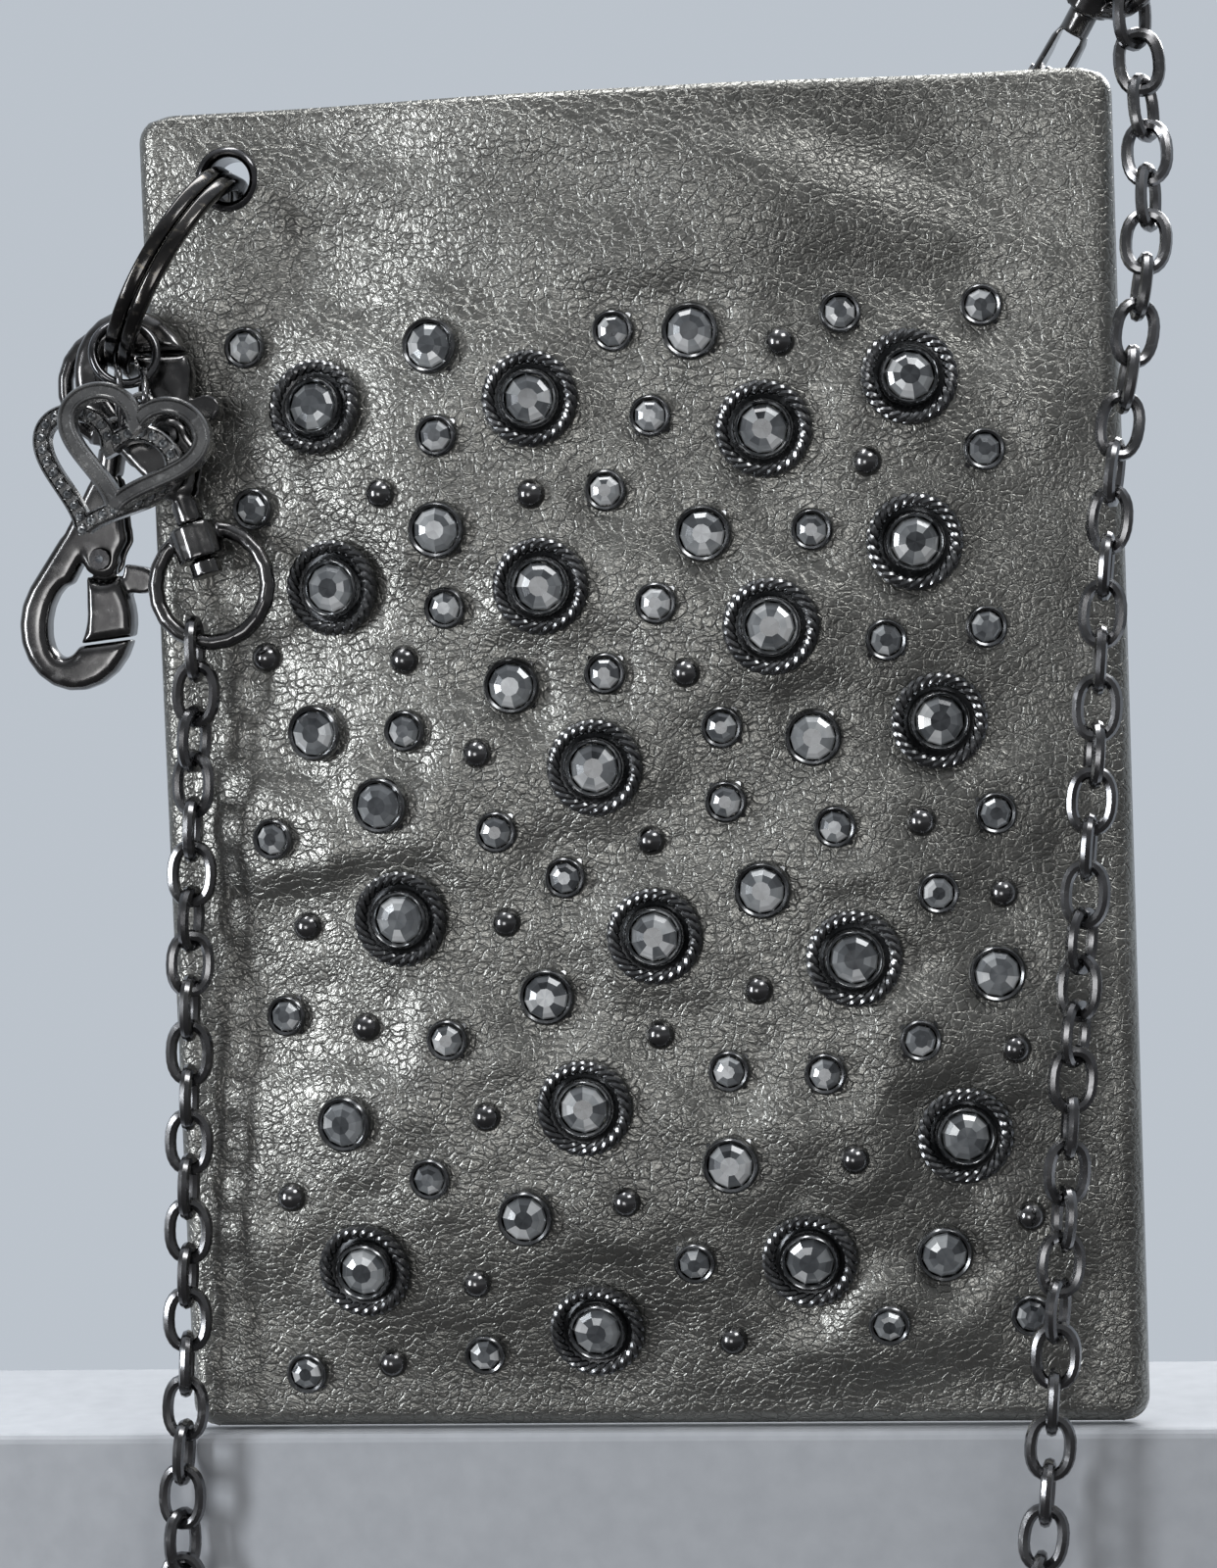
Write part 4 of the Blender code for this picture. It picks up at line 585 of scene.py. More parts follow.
def make_stage():
    """A pale plinth under the bag: its front stops behind the chain, which hangs down before it."""
    x, y, z = np.meshgrid(
        (-STAGE_SIDE, STAGE_SIDE), (STAGE_FRONT, STAGE_BACK), (STAGE_LOW, STAGE_TOP), indexing="ij"
    )
    corners = np.stack([x, y, z], -1).reshape(-1, 3)
    faces = [[0, 1, 3, 2], [4, 6, 7, 5], [0, 4, 5, 1], [2, 3, 7, 6], [0, 2, 6, 4], [1, 5, 7, 3]]
    made, nodes, shader = shader_of("plinth_paint")
    place = nodes.add("ShaderNodeTexCoord").outputs["Object"]
    grit = nodes.noise(place, 300.0, 4.0)
    colour = nodes.colours(grit, ((0.3, (0.47, 0.49, 0.52)), (0.7, (0.52, 0.54, 0.57))))
    nodes.feed(shader, {"Base Color": colour, "Roughness": 0.8})
    piece = Piece()
    piece.add(corners, faces)
    slab = piece.build("plinth", [made], smooth=False)
    edge = slab.modifiers.new("eased edges", "BEVEL")
    edge.width = STAGE_EDGE
    edge.segments = 3


make_camera()
make_world()
make_stage()
for lamp_values in (
    ("high_right", (0.45, -0.42, 0.75), (0.0, 0.0, 0.09), (0.36, 0.26), 2.0, (1.0, 1.0, 1.0)),
    ("wide_left", (-0.65, -0.55, 0.14), (0.0, 0.0, 0.09), (0.14, 0.40), 3.4, (0.93, 0.96, 1.0)),
    ("low_front", (-0.13, -0.95, 0.03), (0.0, 0.0, 0.08), (0.30, 0.30), 0.9, (1.0, 1.0, 1.0)),
    ("top_strip", (-0.05, 0.02, 0.70), (0.0, 0.0, 0.10), (0.60, 0.12), 2.1, (1.0, 1.0, 1.0)),
    ("rear", (0.25, 0.70, 0.55), (0.0, 0.0, 0.09), (0.50, 0.40), 6.0, (1.0, 1.0, 1.0)),
):
    lamp(*lamp_values)


# Chain

ROUTE_STEP = 0.0020
ROUTE_POINTS_PER_LEG = 16
LINK_FULLNESS = 2.35
LINK_LEAN, LINK_DRIFT = 20, 12


def smooth_route(points):
    """Places a step apart along a curve through the route's own points: each leg is the cubic whose
    way at a point is half the step from the point before to the point after."""
    points = np.asarray(points, float)
    ghost = np.vstack([2 * points[0] - points[1], points, 2 * points[-1] - points[-2]])
    t = np.linspace(0, 1, ROUTE_POINTS_PER_LEG, endpoint=False)[:, None]
    fine = [
        0.5 * (2 * b + (c - a) * t + (2 * a - 5 * b + 4 * c - d) * t**2 + (3 * b - a - 3 * c + d) * t**3)
        for a, b, c, d in zip(ghost, ghost[1:], ghost[2:], ghost[3:])
    ]
    return spaced(np.vstack([*fine, points[-1:]]), ROUTE_STEP)


def lengths_along(line):
    """How far each point lies along a line of points."""
    return np.r_[0, np.cumsum(np.linalg.norm(np.diff(line, axis=0), axis=1))]


def spaced(line, step):
    """Places a step apart, or nearly, along a line of points."""
    along = lengths_along(line)
    wanted = np.linspace(0, along[-1], max(2, round(along[-1] / step) + 1))
    return np.stack([np.interp(wanted, along, line[:, k]) for k in range(3)], -1)


def smooth_step(t):
    """0 up to 0 and 1 from 1 on, with level ends between: three squares less two cubes."""
    t = np.clip(t, 0.0, 1.0)
    return t * t * (3 - 2 * t)


def hank_route():
    """Long loops that step one layer forwards along each rising run, drawn in at the waist."""
    left_end, right_end = LEFT_STRAND[-1], RIGHT_STRAND[-1]
    centre = (left_end[0] + right_end[0]) / 2
    start = left_end[2] - GAP
    top = start - LINK_WIDTH
    low = top - HANK_RUN
    run_points, fold_points = HANK_POINTS_PER_LOOP // 2 - 5, 5
    waist = HANK_WAIST / 2
    layer = (left_end[1] - right_end[1]) / HANK_LOOPS
    share = np.linspace(0, 1, run_points + 1)
    bow = waist + (HANK_HALF_WIDTH - waist) * (1 - np.sin(math.pi * share) ** 2)
    fold = math.pi * np.arange(1, fold_points + 1) / (fold_points + 1)
    across, rise = HANK_HALF_WIDTH * np.cos(fold), HANK_HALF_WIDTH * np.sin(fold)
    rows = [np.array([(centre - HANK_HALF_WIDTH, left_end[1], start)])]
    for loop in range(HANK_LOOPS):
        depth = left_end[1] - loop * layer
        rows.append(np.c_[centre - bow, np.full_like(bow, depth), top - HANK_RUN * share])
        rows.append(np.c_[centre - across, np.full_like(across, depth), low - rise])
        rows.append(np.c_[centre + bow, depth - layer * smooth_step(share), low + HANK_RUN * share])
        if loop < HANK_LOOPS - 1:
            rows.append(np.c_[centre + across, np.full_like(across, depth - layer), top + rise])
    rows.append(np.array([(centre + HANK_HALF_WIDTH, right_end[1], start)]))
    return np.vstack(rows)


def chain_line():
    """The whole strap's line: down the left strand, round the hank and up the right strand."""
    left, hank = smooth_route(LEFT_STRAND), smooth_route(hank_route())
    right = smooth_route(RIGHT_STRAND)[::-1]
    return np.vstack([left, hank[1:-1], right]), len(left), len(right)


def link_loop(length, width, wire, steps, sides):
    """A link of round wire: an oval in the X-Z plane, squarer than an ellipse by its fullness."""
    half, reach = width / 2 - wire, length / 2 - wire
    turn = np.linspace(0, 2 * math.pi, steps, endpoint=False)
    x = half * np.sign(np.cos(turn)) * np.abs(np.cos(turn)) ** (2 / LINK_FULLNESS)
    z = reach * np.sign(np.sin(turn)) * np.abs(np.sin(turn)) ** (2 / LINK_FULLNESS)
    return swept(np.c_[x, np.zeros_like(x), z], round_section(wire, sides))


def link_place(line, along, at, roll):
    """The frame of a link at a distance along the line: Z along it, X turned round it by the roll."""
    def point(distance):
        return np.array([np.interp(distance, along, line[:, k]) for k in range(3)])

    tip, tail = point(at + LINK_LENGTH / 2), point(at - LINK_LENGTH / 2)
    ahead = Vector(tip - tail).normalized()
    base = frame_of(point(at), Vector((1, 0, 0)) if abs(ahead.x) < 0.9 else Vector((0, 0, 1)), ahead)
    return base @ Matrix.Rotation(roll, 4, "Z")


def node_points(node):
    """All the points of a node's mesh."""
    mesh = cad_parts[node].data
    points = np.empty(len(mesh.vertices) * 3)
    mesh.vertices.foreach_get("co", points)
    return points.reshape(-1, 3)


def principal_frame(node):
    """A node's own frame: its middle, Z along its longest way and Y along its shortest."""
    points = node_points(node)
    low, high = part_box(node)
    middle = (np.array(low) + np.array(high)) / 2
    ways = np.linalg.svd(points - points.mean(0), full_matrices=False)[2]
    z, x = ways[0], ways[1]
    z = z if z[2] > 0 else -z
    return frame_of(middle, Vector(x), Vector(z))


def build_chain():
    """The links, turned a quarter from one to the next with a little lean, and the two end links."""
    line, left_count, right_count = chain_line()
    along = lengths_along(line)
    fine_points, fine_faces = link_loop(LINK_LENGTH, LINK_WIDTH, LINK_WIRE, 24, 8)
    plain_points, plain_faces = link_loop(LINK_LENGTH, LINK_WIDTH, LINK_WIRE, 14, 5)
    seen_left, seen_right = along[left_count - 1], along[-right_count]
    count = int((along[-1] - 2 * FIRST_LINK_PLACE) / LINK_PITCH)
    count += 1 - count % 2
    places = np.linspace(FIRST_LINK_PLACE, along[-1] - FIRST_LINK_PLACE, count)
    piece = Piece()
    for number, at in enumerate(places):
        lean = random.uniform(-LINK_LEAN, LINK_LEAN) + LINK_DRIFT * math.sin(number * 0.7)
        roll = math.radians(90 * (number % 2) + lean)
        seen = at < seen_left or at > seen_right
        points, faces = (fine_points, fine_faces) if seen else (plain_points, plain_faces)
        piece.add(placed(points, link_place(line, along, at, roll)), faces)
    links = piece.build("chain_links", [LINK_NICKEL])
    finished(links, "strap", "black_nickel", "chain_left_strand", "chain_right_strand", "chain_hank")
    for side in ("left", "right"):
        node = f"chain_end_link_{side}"
        piece = Piece()
        piece.add(placed(fine_points, principal_frame(node)), fine_faces)
        finished(piece.build(f"end_link_{side}", [LINK_NICKEL]), "strap", "black_nickel", node)


build_chain()


# Pouch


def margin_at(z):
    """How far the front stays flat in from its side at a height: wider towards the mouth."""
    rise = (z - (BAG_HEIGHT - MARGIN_CHANGE_DROP)) / MARGIN_CHANGE_SPAN
    return LOW_MARGIN + (MOUTH_MARGIN - LOW_MARGIN) * smooth_step(rise)


def half_depth(x, z):
    """How far the pouch's outer face stands from its middle plane at places of the face."""
    inward = BAG_WIDTH / 2 - np.abs(x) - margin_at(z)
    return SEAM_HALF_DEPTH + BELLY_DEPTH * smooth_step(inward / SIDE_RAMP) * smooth_step(z / BOTTOM_RAMP)


def plane_place(pixel):
    """Where a pixel of the front lies: the projective map that takes the four corner pixels to the
    corners of the rectangle, times its width and height."""
    square = ((0.0, 1.0), (1.0, 1.0), (1.0, 0.0), (0.0, 0.0))
    rows, values = [], []
    for (px, py), (u, v) in zip(CORNER_PIXELS, square):
        rows.append((px, py, 1, 0, 0, 0, -u * px, -u * py))
        rows.append((0, 0, 0, px, py, 1, -v * px, -v * py))
        values += [u, v]
    a, b, c, d, e, f, g, h = np.linalg.solve(np.array(rows, float), np.array(values, float))
    px, py = pixel
    w = g * px + h * py + 1
    return ((a * px + b * py + c) / w - 0.5) * BAG_WIDTH, (d * px + e * py + f) / w * BAG_HEIGHT


STUDS = [(pixel, radius) for pixels, radius in (
    (ROPE_PIXELS, ROPE_RADIUS), (MEDIUM_PIXELS, MEDIUM_RADIUS),
    (SMALL_PIXELS, SMALL_RADIUS), (DOME_PIXELS, DOME_RADIUS),
) for pixel in pixels]
WAVE_COUNT = 16
WAVE_SHORTEST, WAVE_LONGEST = 0.018, 0.060
WAVE_ACROSS, WAVE_UPRIGHT = 0.7, 1.25
WAVE_HEIGHT = 0.00024
WAVE_RISE = 0.00048
WAVE_FLOOR = -0.0002
WAVE_EASING = 0.0002
WAVE_EDGE = 0.014
DIMPLE_DEPTH = 0.00030
HOLD_REACH = 0.0070
WAVES = [
    (
        random.uniform(0, 2 * math.pi),
        2 * math.pi / random.uniform(WAVE_SHORTEST, WAVE_LONGEST),
        random.uniform(0, 2 * math.pi),
    )
    for _ in range(WAVE_COUNT)
]


def waves(x, z):
    """Soft waves of the leather: long crossed sines, kept above a lowest level and fading to the edge."""
    total = np.full_like(x, WAVE_RISE)
    for way, count, start in WAVES:
        along = x * math.cos(way) * WAVE_ACROSS + z * math.sin(way) * WAVE_UPRIGHT
        total = total + WAVE_HEIGHT * np.sin(along * count + start)
    total = WAVE_FLOOR + np.logaddexp(0.0, (total - WAVE_FLOOR) / WAVE_EASING) * WAVE_EASING
    edge = np.minimum(BAG_WIDTH / 2 - np.abs(x), np.minimum(z, (BAG_HEIGHT - z) * 1.5))
    return total * smooth_step(edge / WAVE_EDGE)


def undulation(x, z):
    """The waves, held level under each stud, which sits in a shallow dish."""
    total = waves(x, z)
    for pixel, radius in STUDS:
        sx, sz = plane_place(pixel)
        level = float(waves(np.array(sx), np.array(sz)))
        far = np.hypot(x - sx, z - sz)
        hold = 1 - smooth_step((far - radius) / HOLD_REACH)
        total = total + (level - total) * hold - DIMPLE_DEPTH * np.exp(-((far / (1.5 * radius)) ** 2))
    return total


def half_width(z):
    """Half the outline's width at a height, its corners rounded."""
    low = CORNER_RADIUS - np.minimum(CORNER_RADIUS, np.minimum(z, BAG_HEIGHT - z))
    return BAG_WIDTH / 2 - CORNER_RADIUS + np.sqrt(np.maximum(CORNER_RADIUS**2 - low**2, 0.0))


def front_depth(x, z):
    """How far the front leather stands ahead of the pouch's middle plane."""
    return half_depth(x, z) + undulation(x, z)


COLUMN_CROWDING = 0.55
ROW_CROWDING = 1.15
BACK_WAVE_SHARE = 0.8
MOUTH_ROUNDING = 0.0009
MOUTH_TUCK = 0.0004


def leather_shell(name, node, side, seam, columns, rows):
    """One face of the pouch: a grid over its outline, closer towards its edges, rounded over to the
    seam at its sides and bottom by a quarter circle, then given the leather's thickness."""
    share = np.linspace(-1, 1, columns)
    share = np.sin(share * math.pi / 2) * COLUMN_CROWDING + share * (1 - COLUMN_CROWDING)
    rise = np.linspace(0, 1, rows) ** ROW_CROWDING
    z = np.repeat((rise * BAG_HEIGHT)[:, None], columns, 1)
    x = share[None, :] * half_width(z)
    radius = SEAM_HALF_DEPTH - side * seam
    from_side = np.maximum(radius - (half_width(z) - np.abs(x)), 0.0)
    from_bottom = np.maximum(radius - z, 0.0)
    off = np.minimum(np.hypot(from_side, from_bottom), radius)
    drop = radius - np.sqrt(radius**2 - off**2)
    wave = undulation(x, z) if side < 0 else undulation(-x, z) * BACK_WAVE_SHARE
    y = side * (half_depth(x, z) + wave - drop)
    top = np.clip((z - (BAG_HEIGHT - MOUTH_ROUNDING)) / MOUTH_ROUNDING, 0, 1)
    y = y - side * MOUTH_TUCK * (1 - np.sqrt(1 - top**2))
    piece = Piece()
    faces = grid_faces(rows, columns)
    centre = np.stack([x, z], -1).reshape(-1, 2)[faces].mean(1)
    kept = np.hypot(centre[:, 0] - EYELET_X, centre[:, 1] - EYELET_Z) > EYELET_HOLE
    piece.add(np.stack([x, y, z], -1), faces[kept])
    made = piece.build(name, [PEWTER_LEATHER], sharp=60)
    facing = sum(p.normal.y * p.area for p in made.data.polygons)
    if facing * side < 0:
        made.data.flip_normals()
    wall = made.modifiers.new("leather thickness", "SOLIDIFY")
    wall.thickness = LEATHER
    wall.offset = -1.0
    return finished(made, "bag", "pewter_leather", node)


leather_shell("leather_front", "front_leather", -1.0, SEAM_FRONT_EDGE, 230, 300)
leather_shell("leather_back", "back_leather", 1.0, SEAM_BACK_EDGE, 150, 200)


# Studs: a cut stone's rings as shares of its radius and its rise, the dark tones painted on its table as
# reflection, how much a facet's painted glint differs from its neighbours and how much brighter each ring is
# painted, then the sizes of the cups and the corded rims

STONE_RINGS = ((0.42, 1.0), (0.72, 0.72), (0.93, 0.30), (1.0, 0.0))
TABLE_REFLECTION_TONES = (0.08, 0.14, 0.22, 0.40)
FACET_CHANGES = (-0.16, 0.0, 0.10, 0.46)
FACET_RING_GLINTS = (0.0, 0.06, 0.10)
CUP_SINK = 0.0004
PRONG_CHANCE = 0.55
PRONG_HALF_WIDTH, PRONG_REACH, PRONG_RISE, PRONG_SINK = 0.00045, 0.0005, 0.0006, 0.0002
ROPE_STRANDS = 3
ROPE_TWISTS = 9
ROPE_STEPS = 210
ROPE_MIDDLE = 0.00550
ROPE_HEART = 0.00046
ROPE_LIFT = 0.0010
ROPE_RAISE = 0.0002
STRAND_RADIUS = 0.00052
ROPE_STONE_LOW, ROPE_STONE_HIGH = 0.0015, 0.0025
ROPE_CUP = (
    (0.0055, -CUP_SINK), (0.0055, 0.0011), (0.0050, 0.0013), (0.0045, 0.0011), (0.0040, 0.0008),
    (0.0039, 0.0018), (0.0038, 0.0021), (0.0036, 0.0023), (0.0034, 0.0021),
    (ROPE_STONE_RADIUS, 0.0016), (ROPE_STONE_RADIUS, 0.0004),
)


def stud_place(pixel, lift=0.0):
    """The frame of a stud on the front leather: +Z out of the leather, square to the pouch's belly."""
    x, z = plane_place(pixel)
    step = 0.002
    depth = float(front_depth(np.array(x), np.array(z)))
    slope_x = float(half_depth(x + step, z) - half_depth(x - step, z)) / (2 * step)
    slope_z = float(half_depth(x, z + step) - half_depth(x, z - step)) / (2 * step)
    out = Vector((-slope_x, -1.0, -slope_z)).normalized()
    return frame_of(Vector((x, -depth, z)) + out * lift, (1, 0, 0), out)


def cut_stone(piece, place, radius, low, high, count, finish, spin):
    """A round cut stone: a small table and three rings of facets, whose tones are painted reflections. The
    table is painted dark, each facet is painted brighter the lower it faces and the further out its ring
    lies, and differs a little from the next by chance."""
    turn = np.linspace(0, 2 * math.pi, count, endpoint=False) + spin
    points = [
        np.c_[np.cos(turn) * radius * r, np.sin(turn) * radius * r, np.full(count, low + (high - low) * h)]
        for r, h in STONE_RINGS
    ]
    points = placed(np.vstack([*points, [[0, 0, high]]]), place)
    k = np.arange(count)
    n = (k + 1) % count
    # Painted reflection: the table's tone is a dark one, chosen at random.
    table = random.choice(TABLE_REFLECTION_TONES)
    wedges = np.stack([np.full(count, 4 * count), k, n], -1)
    piece.add(points, wedges.tolist(), finish, table + random.uniform(-0.05, 0.05, count))
    # Painted reflection: a facet that faces lower is painted brighter.
    low_facing_glint = 0.5 - 0.5 * np.sin(turn + math.pi / count)
    base = random.uniform(0.16, 0.34)
    bright = random.choice(FACET_CHANGES, count)
    # Painted reflection: each ring of facets further out is painted brighter.
    for ring, lift in enumerate(FACET_RING_GLINTS):
        faces = np.stack([k, k + count, n + count, n], -1) + ring * count
        spread = bright * (0.5 if ring == 2 else 1.0) + random.uniform(-0.08, 0.08, count)
        tones = np.clip(base + lift + 0.32 * low_facing_glint + spread, 0.03, 1.0)
        piece.add(points, faces.tolist(), finish, tones)


def setting(piece, place, outer, stone, height, sides, finish):
    """A stamped cup: a round wall, a rolled lip and a bevel down to the stone."""
    lip = (outer + stone) / 2
    profile = (
        (outer, -CUP_SINK), (outer, height * 0.42), (outer * 0.985, height * 0.60),
        (outer * 0.94, height * 0.72), (lip, height * 0.80), (stone * 1.04, height * 0.72),
        (stone * 0.99, height * 0.55), (stone * 0.98, -0.0003),
    )
    points, faces = revolved(profile, sides)
    piece.add(placed(points, place), faces.tolist(), finish)


def build_settings():
    """The medium and small stones in their cups, some with a folded foot showing."""
    piece = Piece()
    for pixels, outer, stone, height, sides, count in (
        (MEDIUM_PIXELS, MEDIUM_RADIUS, MEDIUM_STONE_RADIUS, 0.0024, 32, 10),
        (SMALL_PIXELS, SMALL_RADIUS, SMALL_STONE_RADIUS, 0.0020, 26, 8),
    ):
        for pixel in pixels:
            place = stud_place(pixel)
            setting(piece, place, outer, stone, height, sides, 0)
            cut_stone(piece, place, stone, height * 0.58, height, count, 1, random.uniform(0, 1))
            for corner in range(4):
                if random.uniform() < PRONG_CHANCE:
                    prong(piece, place, outer, corner * math.pi / 2 + random.uniform(-0.15, 0.15) + 0.8)
    made = piece.build("stone_settings", [SETTING, STONE], sharp=28, flat=1)
    finished(made, "bag", "set_stone", "front_leather")


def prong(piece, place, outer, angle):
    """The folded foot of a cup's leg, a small dark wedge beside its wall."""
    a, b, h, w, s = outer * 0.97, outer + PRONG_REACH, PRONG_RISE, PRONG_HALF_WIDTH, PRONG_SINK
    rows = np.array([
        (a, -w, -s), (b, -w * 0.5, -s), (b, w * 0.5, -s), (a, w, -s),
        (a, -w, h), (b - s, -w * 0.4, h * 0.5), (b - s, w * 0.4, h * 0.5), (a, w, h),
    ])
    turn = np.array(Matrix.Rotation(angle, 3, "Z"))
    faces = [[0, 3, 2, 1], [4, 5, 6, 7], [0, 1, 5, 4], [1, 2, 6, 5], [2, 3, 7, 6], [3, 0, 4, 7]]
    piece.add(placed(rows @ turn.T, place), faces, 0)


def build_domes():
    """The glossy studs: half balls with a short wall sunk in the leather."""
    turn = np.linspace(0, math.pi / 2, 7)
    profile = np.c_[np.cos(turn) * DOME_RADIUS, np.sin(turn) * DOME_RADIUS]
    profile = np.vstack([(DOME_RADIUS, -CUP_SINK), profile])
    profile[-1] = (0.0, DOME_RADIUS)
    points, faces = revolved(profile, 24)
    piece = Piece()
    for pixel in DOME_PIXELS:
        piece.add(placed(points, stud_place(pixel)), faces.tolist())
    finished(piece.build("dome_studs", [HEMATITE], sharp=60), "bag", "set_stone", "front_leather")


def build_rope_stud(number, pixel):
    """A corded rim round a cup: round strands, each a helix about a ring."""
    place = stud_place(pixel, ROPE_RAISE)
    around = np.linspace(0, 2 * math.pi, ROPE_STEPS, endpoint=False)
    start = random.uniform(0, 2 * math.pi)
    piece = Piece()
    for strand in range(ROPE_STRANDS):
        twist = ROPE_TWISTS * around + 2 * math.pi * strand / ROPE_STRANDS + start
        r, lift = ROPE_MIDDLE + ROPE_HEART * np.cos(twist), ROPE_LIFT + ROPE_HEART * np.sin(twist)
        line = np.stack([r * np.cos(around), r * np.sin(around), lift], -1)
        points, faces = swept(line, round_section(STRAND_RADIUS, 8), True, (0, 0, 1))
        piece.add(placed(points, place), faces, 0)
    points, faces = revolved(ROPE_CUP, 48)
    piece.add(placed(points, place), faces.tolist(), 0)
    spin = random.uniform(0, 1)
    cut_stone(piece, place, ROPE_STONE_RADIUS, ROPE_STONE_LOW, ROPE_STONE_HIGH, 10, 1, spin)
    made = piece.build(f"corded_stone_{number:02d}", [SETTING, STONE], sharp=28, flat=1)
    finished(made, "bag", "set_stone", f"rope_stud_{number:02d}")


build_settings()
build_domes()
for number, pixel in enumerate(ROPE_PIXELS, 1):
    build_rope_stud(number, pixel)

# Eyelet and split ring

EYELET_FACE, EYELET_REAR = 0.0025, 0.0035
EYELET_SIDES = 48


def build_eyelet():
    """A spool with a rolled front flange, turned round its bore."""
    face, rear = EYELET_FACE, EYELET_REAR
    profile = (
        (0.00295, -rear - 0.0006), (0.0040, -rear - 0.0006), (0.0042, -rear - 0.0003), (0.0040, -rear),
        (0.00345, -rear), (0.00345, face), (0.0043, face), (0.0044, face + 0.0002),
        (0.0043, face + 0.0006), (0.0040, face + 0.0009), (0.0036, face + 0.0010),
        (0.0032, face + 0.0007), (0.0030, face + 0.0002), (0.00295, face - 0.0006),
    )
    points, _ = revolved(profile, EYELET_SIDES)
    faces = grid_faces(len(profile), EYELET_SIDES, True, True)
    piece = Piece()
    piece.add(placed(points, frame_of((EYELET_X, 0, EYELET_Z), (1, 0, 0), (0, -1, 0))), faces.tolist())
    finished(piece.build("eyelet_spool", [BLACK_NICKEL]), "bag", "black_nickel", "eyelet")


RING_DOWN = Vector((
    -math.sin(RING_LEAN) * math.cos(RING_FORWARD),
    -math.sin(RING_FORWARD),
    -math.cos(RING_LEAN) * math.cos(RING_FORWARD),
))
RING_FRONT = (Vector((0, -1, 0)) - RING_DOWN * Vector((0, -1, 0)).dot(RING_DOWN)).normalized()
RING_AXIS = RING_DOWN.cross(RING_FRONT)
RING_CENTRE = Vector((EYELET_X, 0.0, EYELET_Z)) + RING_RADIUS * RING_DOWN


def build_split_ring():
    """Two flat turns of one wire that change sides at a crossover."""
    half = RING_COIL / 2
    shift = (RING_COIL + RING_COIL_GAP) / 2
    corner = np.linspace(0, math.pi / 2, 4)
    ease = half * 0.45
    quarter = np.c_[half - ease + ease * np.cos(corner), half - ease + ease * np.sin(corner)]
    section = np.vstack([
        quarter, quarter[::-1] * (-1, 1), quarter * (-1, -1), quarter[::-1] * (1, -1),
    ])
    turn = np.linspace(RING_CROSSOVER, 4 * math.pi - RING_CROSSOVER, 220)
    side = smooth_step((turn - 2 * math.pi + RING_CROSSOVER) / (2 * RING_CROSSOVER)) * 2 - 1
    angle = turn + RING_CROSSOVER_PLACE
    down, front, axis = (np.array(v) for v in (RING_DOWN, RING_FRONT, RING_AXIS))
    out = np.cos(angle)[:, None] * down + np.sin(angle)[:, None] * front
    rings = (
        np.array(RING_CENTRE)
        + out[:, None] * (RING_RADIUS + section[None, :, :1])
        + axis * (section[None, :, 1:] + side[:, None, None] * shift)
    )
    faces = grid_faces(len(turn), len(section), close_columns=True).tolist()
    last = (len(turn) - 1) * len(section)
    faces += [list(range(len(section))), list(range(last, last + len(section)))]
    piece = Piece()
    piece.add(rings.reshape(-1, 3), faces)
    finished(piece.build("split_ring_coils", [RING_NICKEL]), "split_ring", "black_nickel", "split_ring")


build_eyelet()
build_split_ring()


# Hearts

HEART_EASE = 0.00022
HEART_MITRE = 0.0012
PLAIN_RIM, PLAIN_SUNK = 0.00042, 0.00028
PAVE_RIM, PAVE_SUNK = 0.00022, 0.00030
LUG_STEPS = 28
PAVE_PITCH = 0.00172
PAVE_STONE_RADIUS, PAVE_STONE_LOW, PAVE_STONE_HIGH = 0.00058, 0.00014, 0.00046
PAVE_CUP = ((0.00072, 0.0), (0.00070, 0.00022), (PAVE_STONE_RADIUS, 0.00022), (0.00056, 0.0))
BEAD_RADIUS, BEAD_OFFSET, BEAD_RISE = 0.00019, 0.00066, 0.00026


def heart_height_of(value):
    """A height on the heart curve's own scale, in metres from the middle of the band's line."""
    scale = (HEART_HEIGHT - HEART_BAND) / (HEART_LOBE - HEART_TIP)
    return (value - (HEART_LOBE + HEART_TIP) / 2) * scale


def heart_half(steps):
    """The right half of the classic heart curve from its notch to its tip, with its outward ways."""
    t = np.linspace(0.02, math.pi - 0.004, steps)
    x = 16 * np.sin(t) ** 3 * (HEART_WIDTH - HEART_BAND) / HEART_SPAN
    z = heart_height_of(13 * np.cos(t) - 5 * np.cos(2 * t) - 2 * np.cos(3 * t) - np.cos(4 * t))
    ahead = np.gradient(np.c_[x, z], axis=0)
    ahead /= np.linalg.norm(ahead, axis=1)[:, None]
    return np.c_[x, z], np.c_[-ahead[:, 1], ahead[:, 0]]


def heart_outline(offset, steps=70):
    """The heart's line moved outwards by an offset; where it would cross the middle it is mitred."""
    line, out = heart_half(steps)
    moved = line + out * offset
    good = np.flatnonzero(moved[:, 0] > 0)
    first, last = good[0], good[-1]
    ends = ((first, first + 1, slice(0, max(first, 1))), (last, last - 1, slice(last + 1, None)))
    for end, inner, beyond in ends:
        a, b = moved[end], moved[inner]
        slope = (b[1] - a[1]) / max(abs(b[0] - a[0]), 1e-9)
        height = a[1] - slope * a[0] * np.sign(b[0] - a[0])
        low, high = min(a[1], b[1]) - HEART_MITRE, max(a[1], b[1]) + HEART_MITRE
        moved[beyond] = (0.0, float(np.clip(height, low, high)))
    moved[-1, 0] = 0.0
    return np.vstack([moved, (moved * (-1, 1))[::-1][1:-1]])


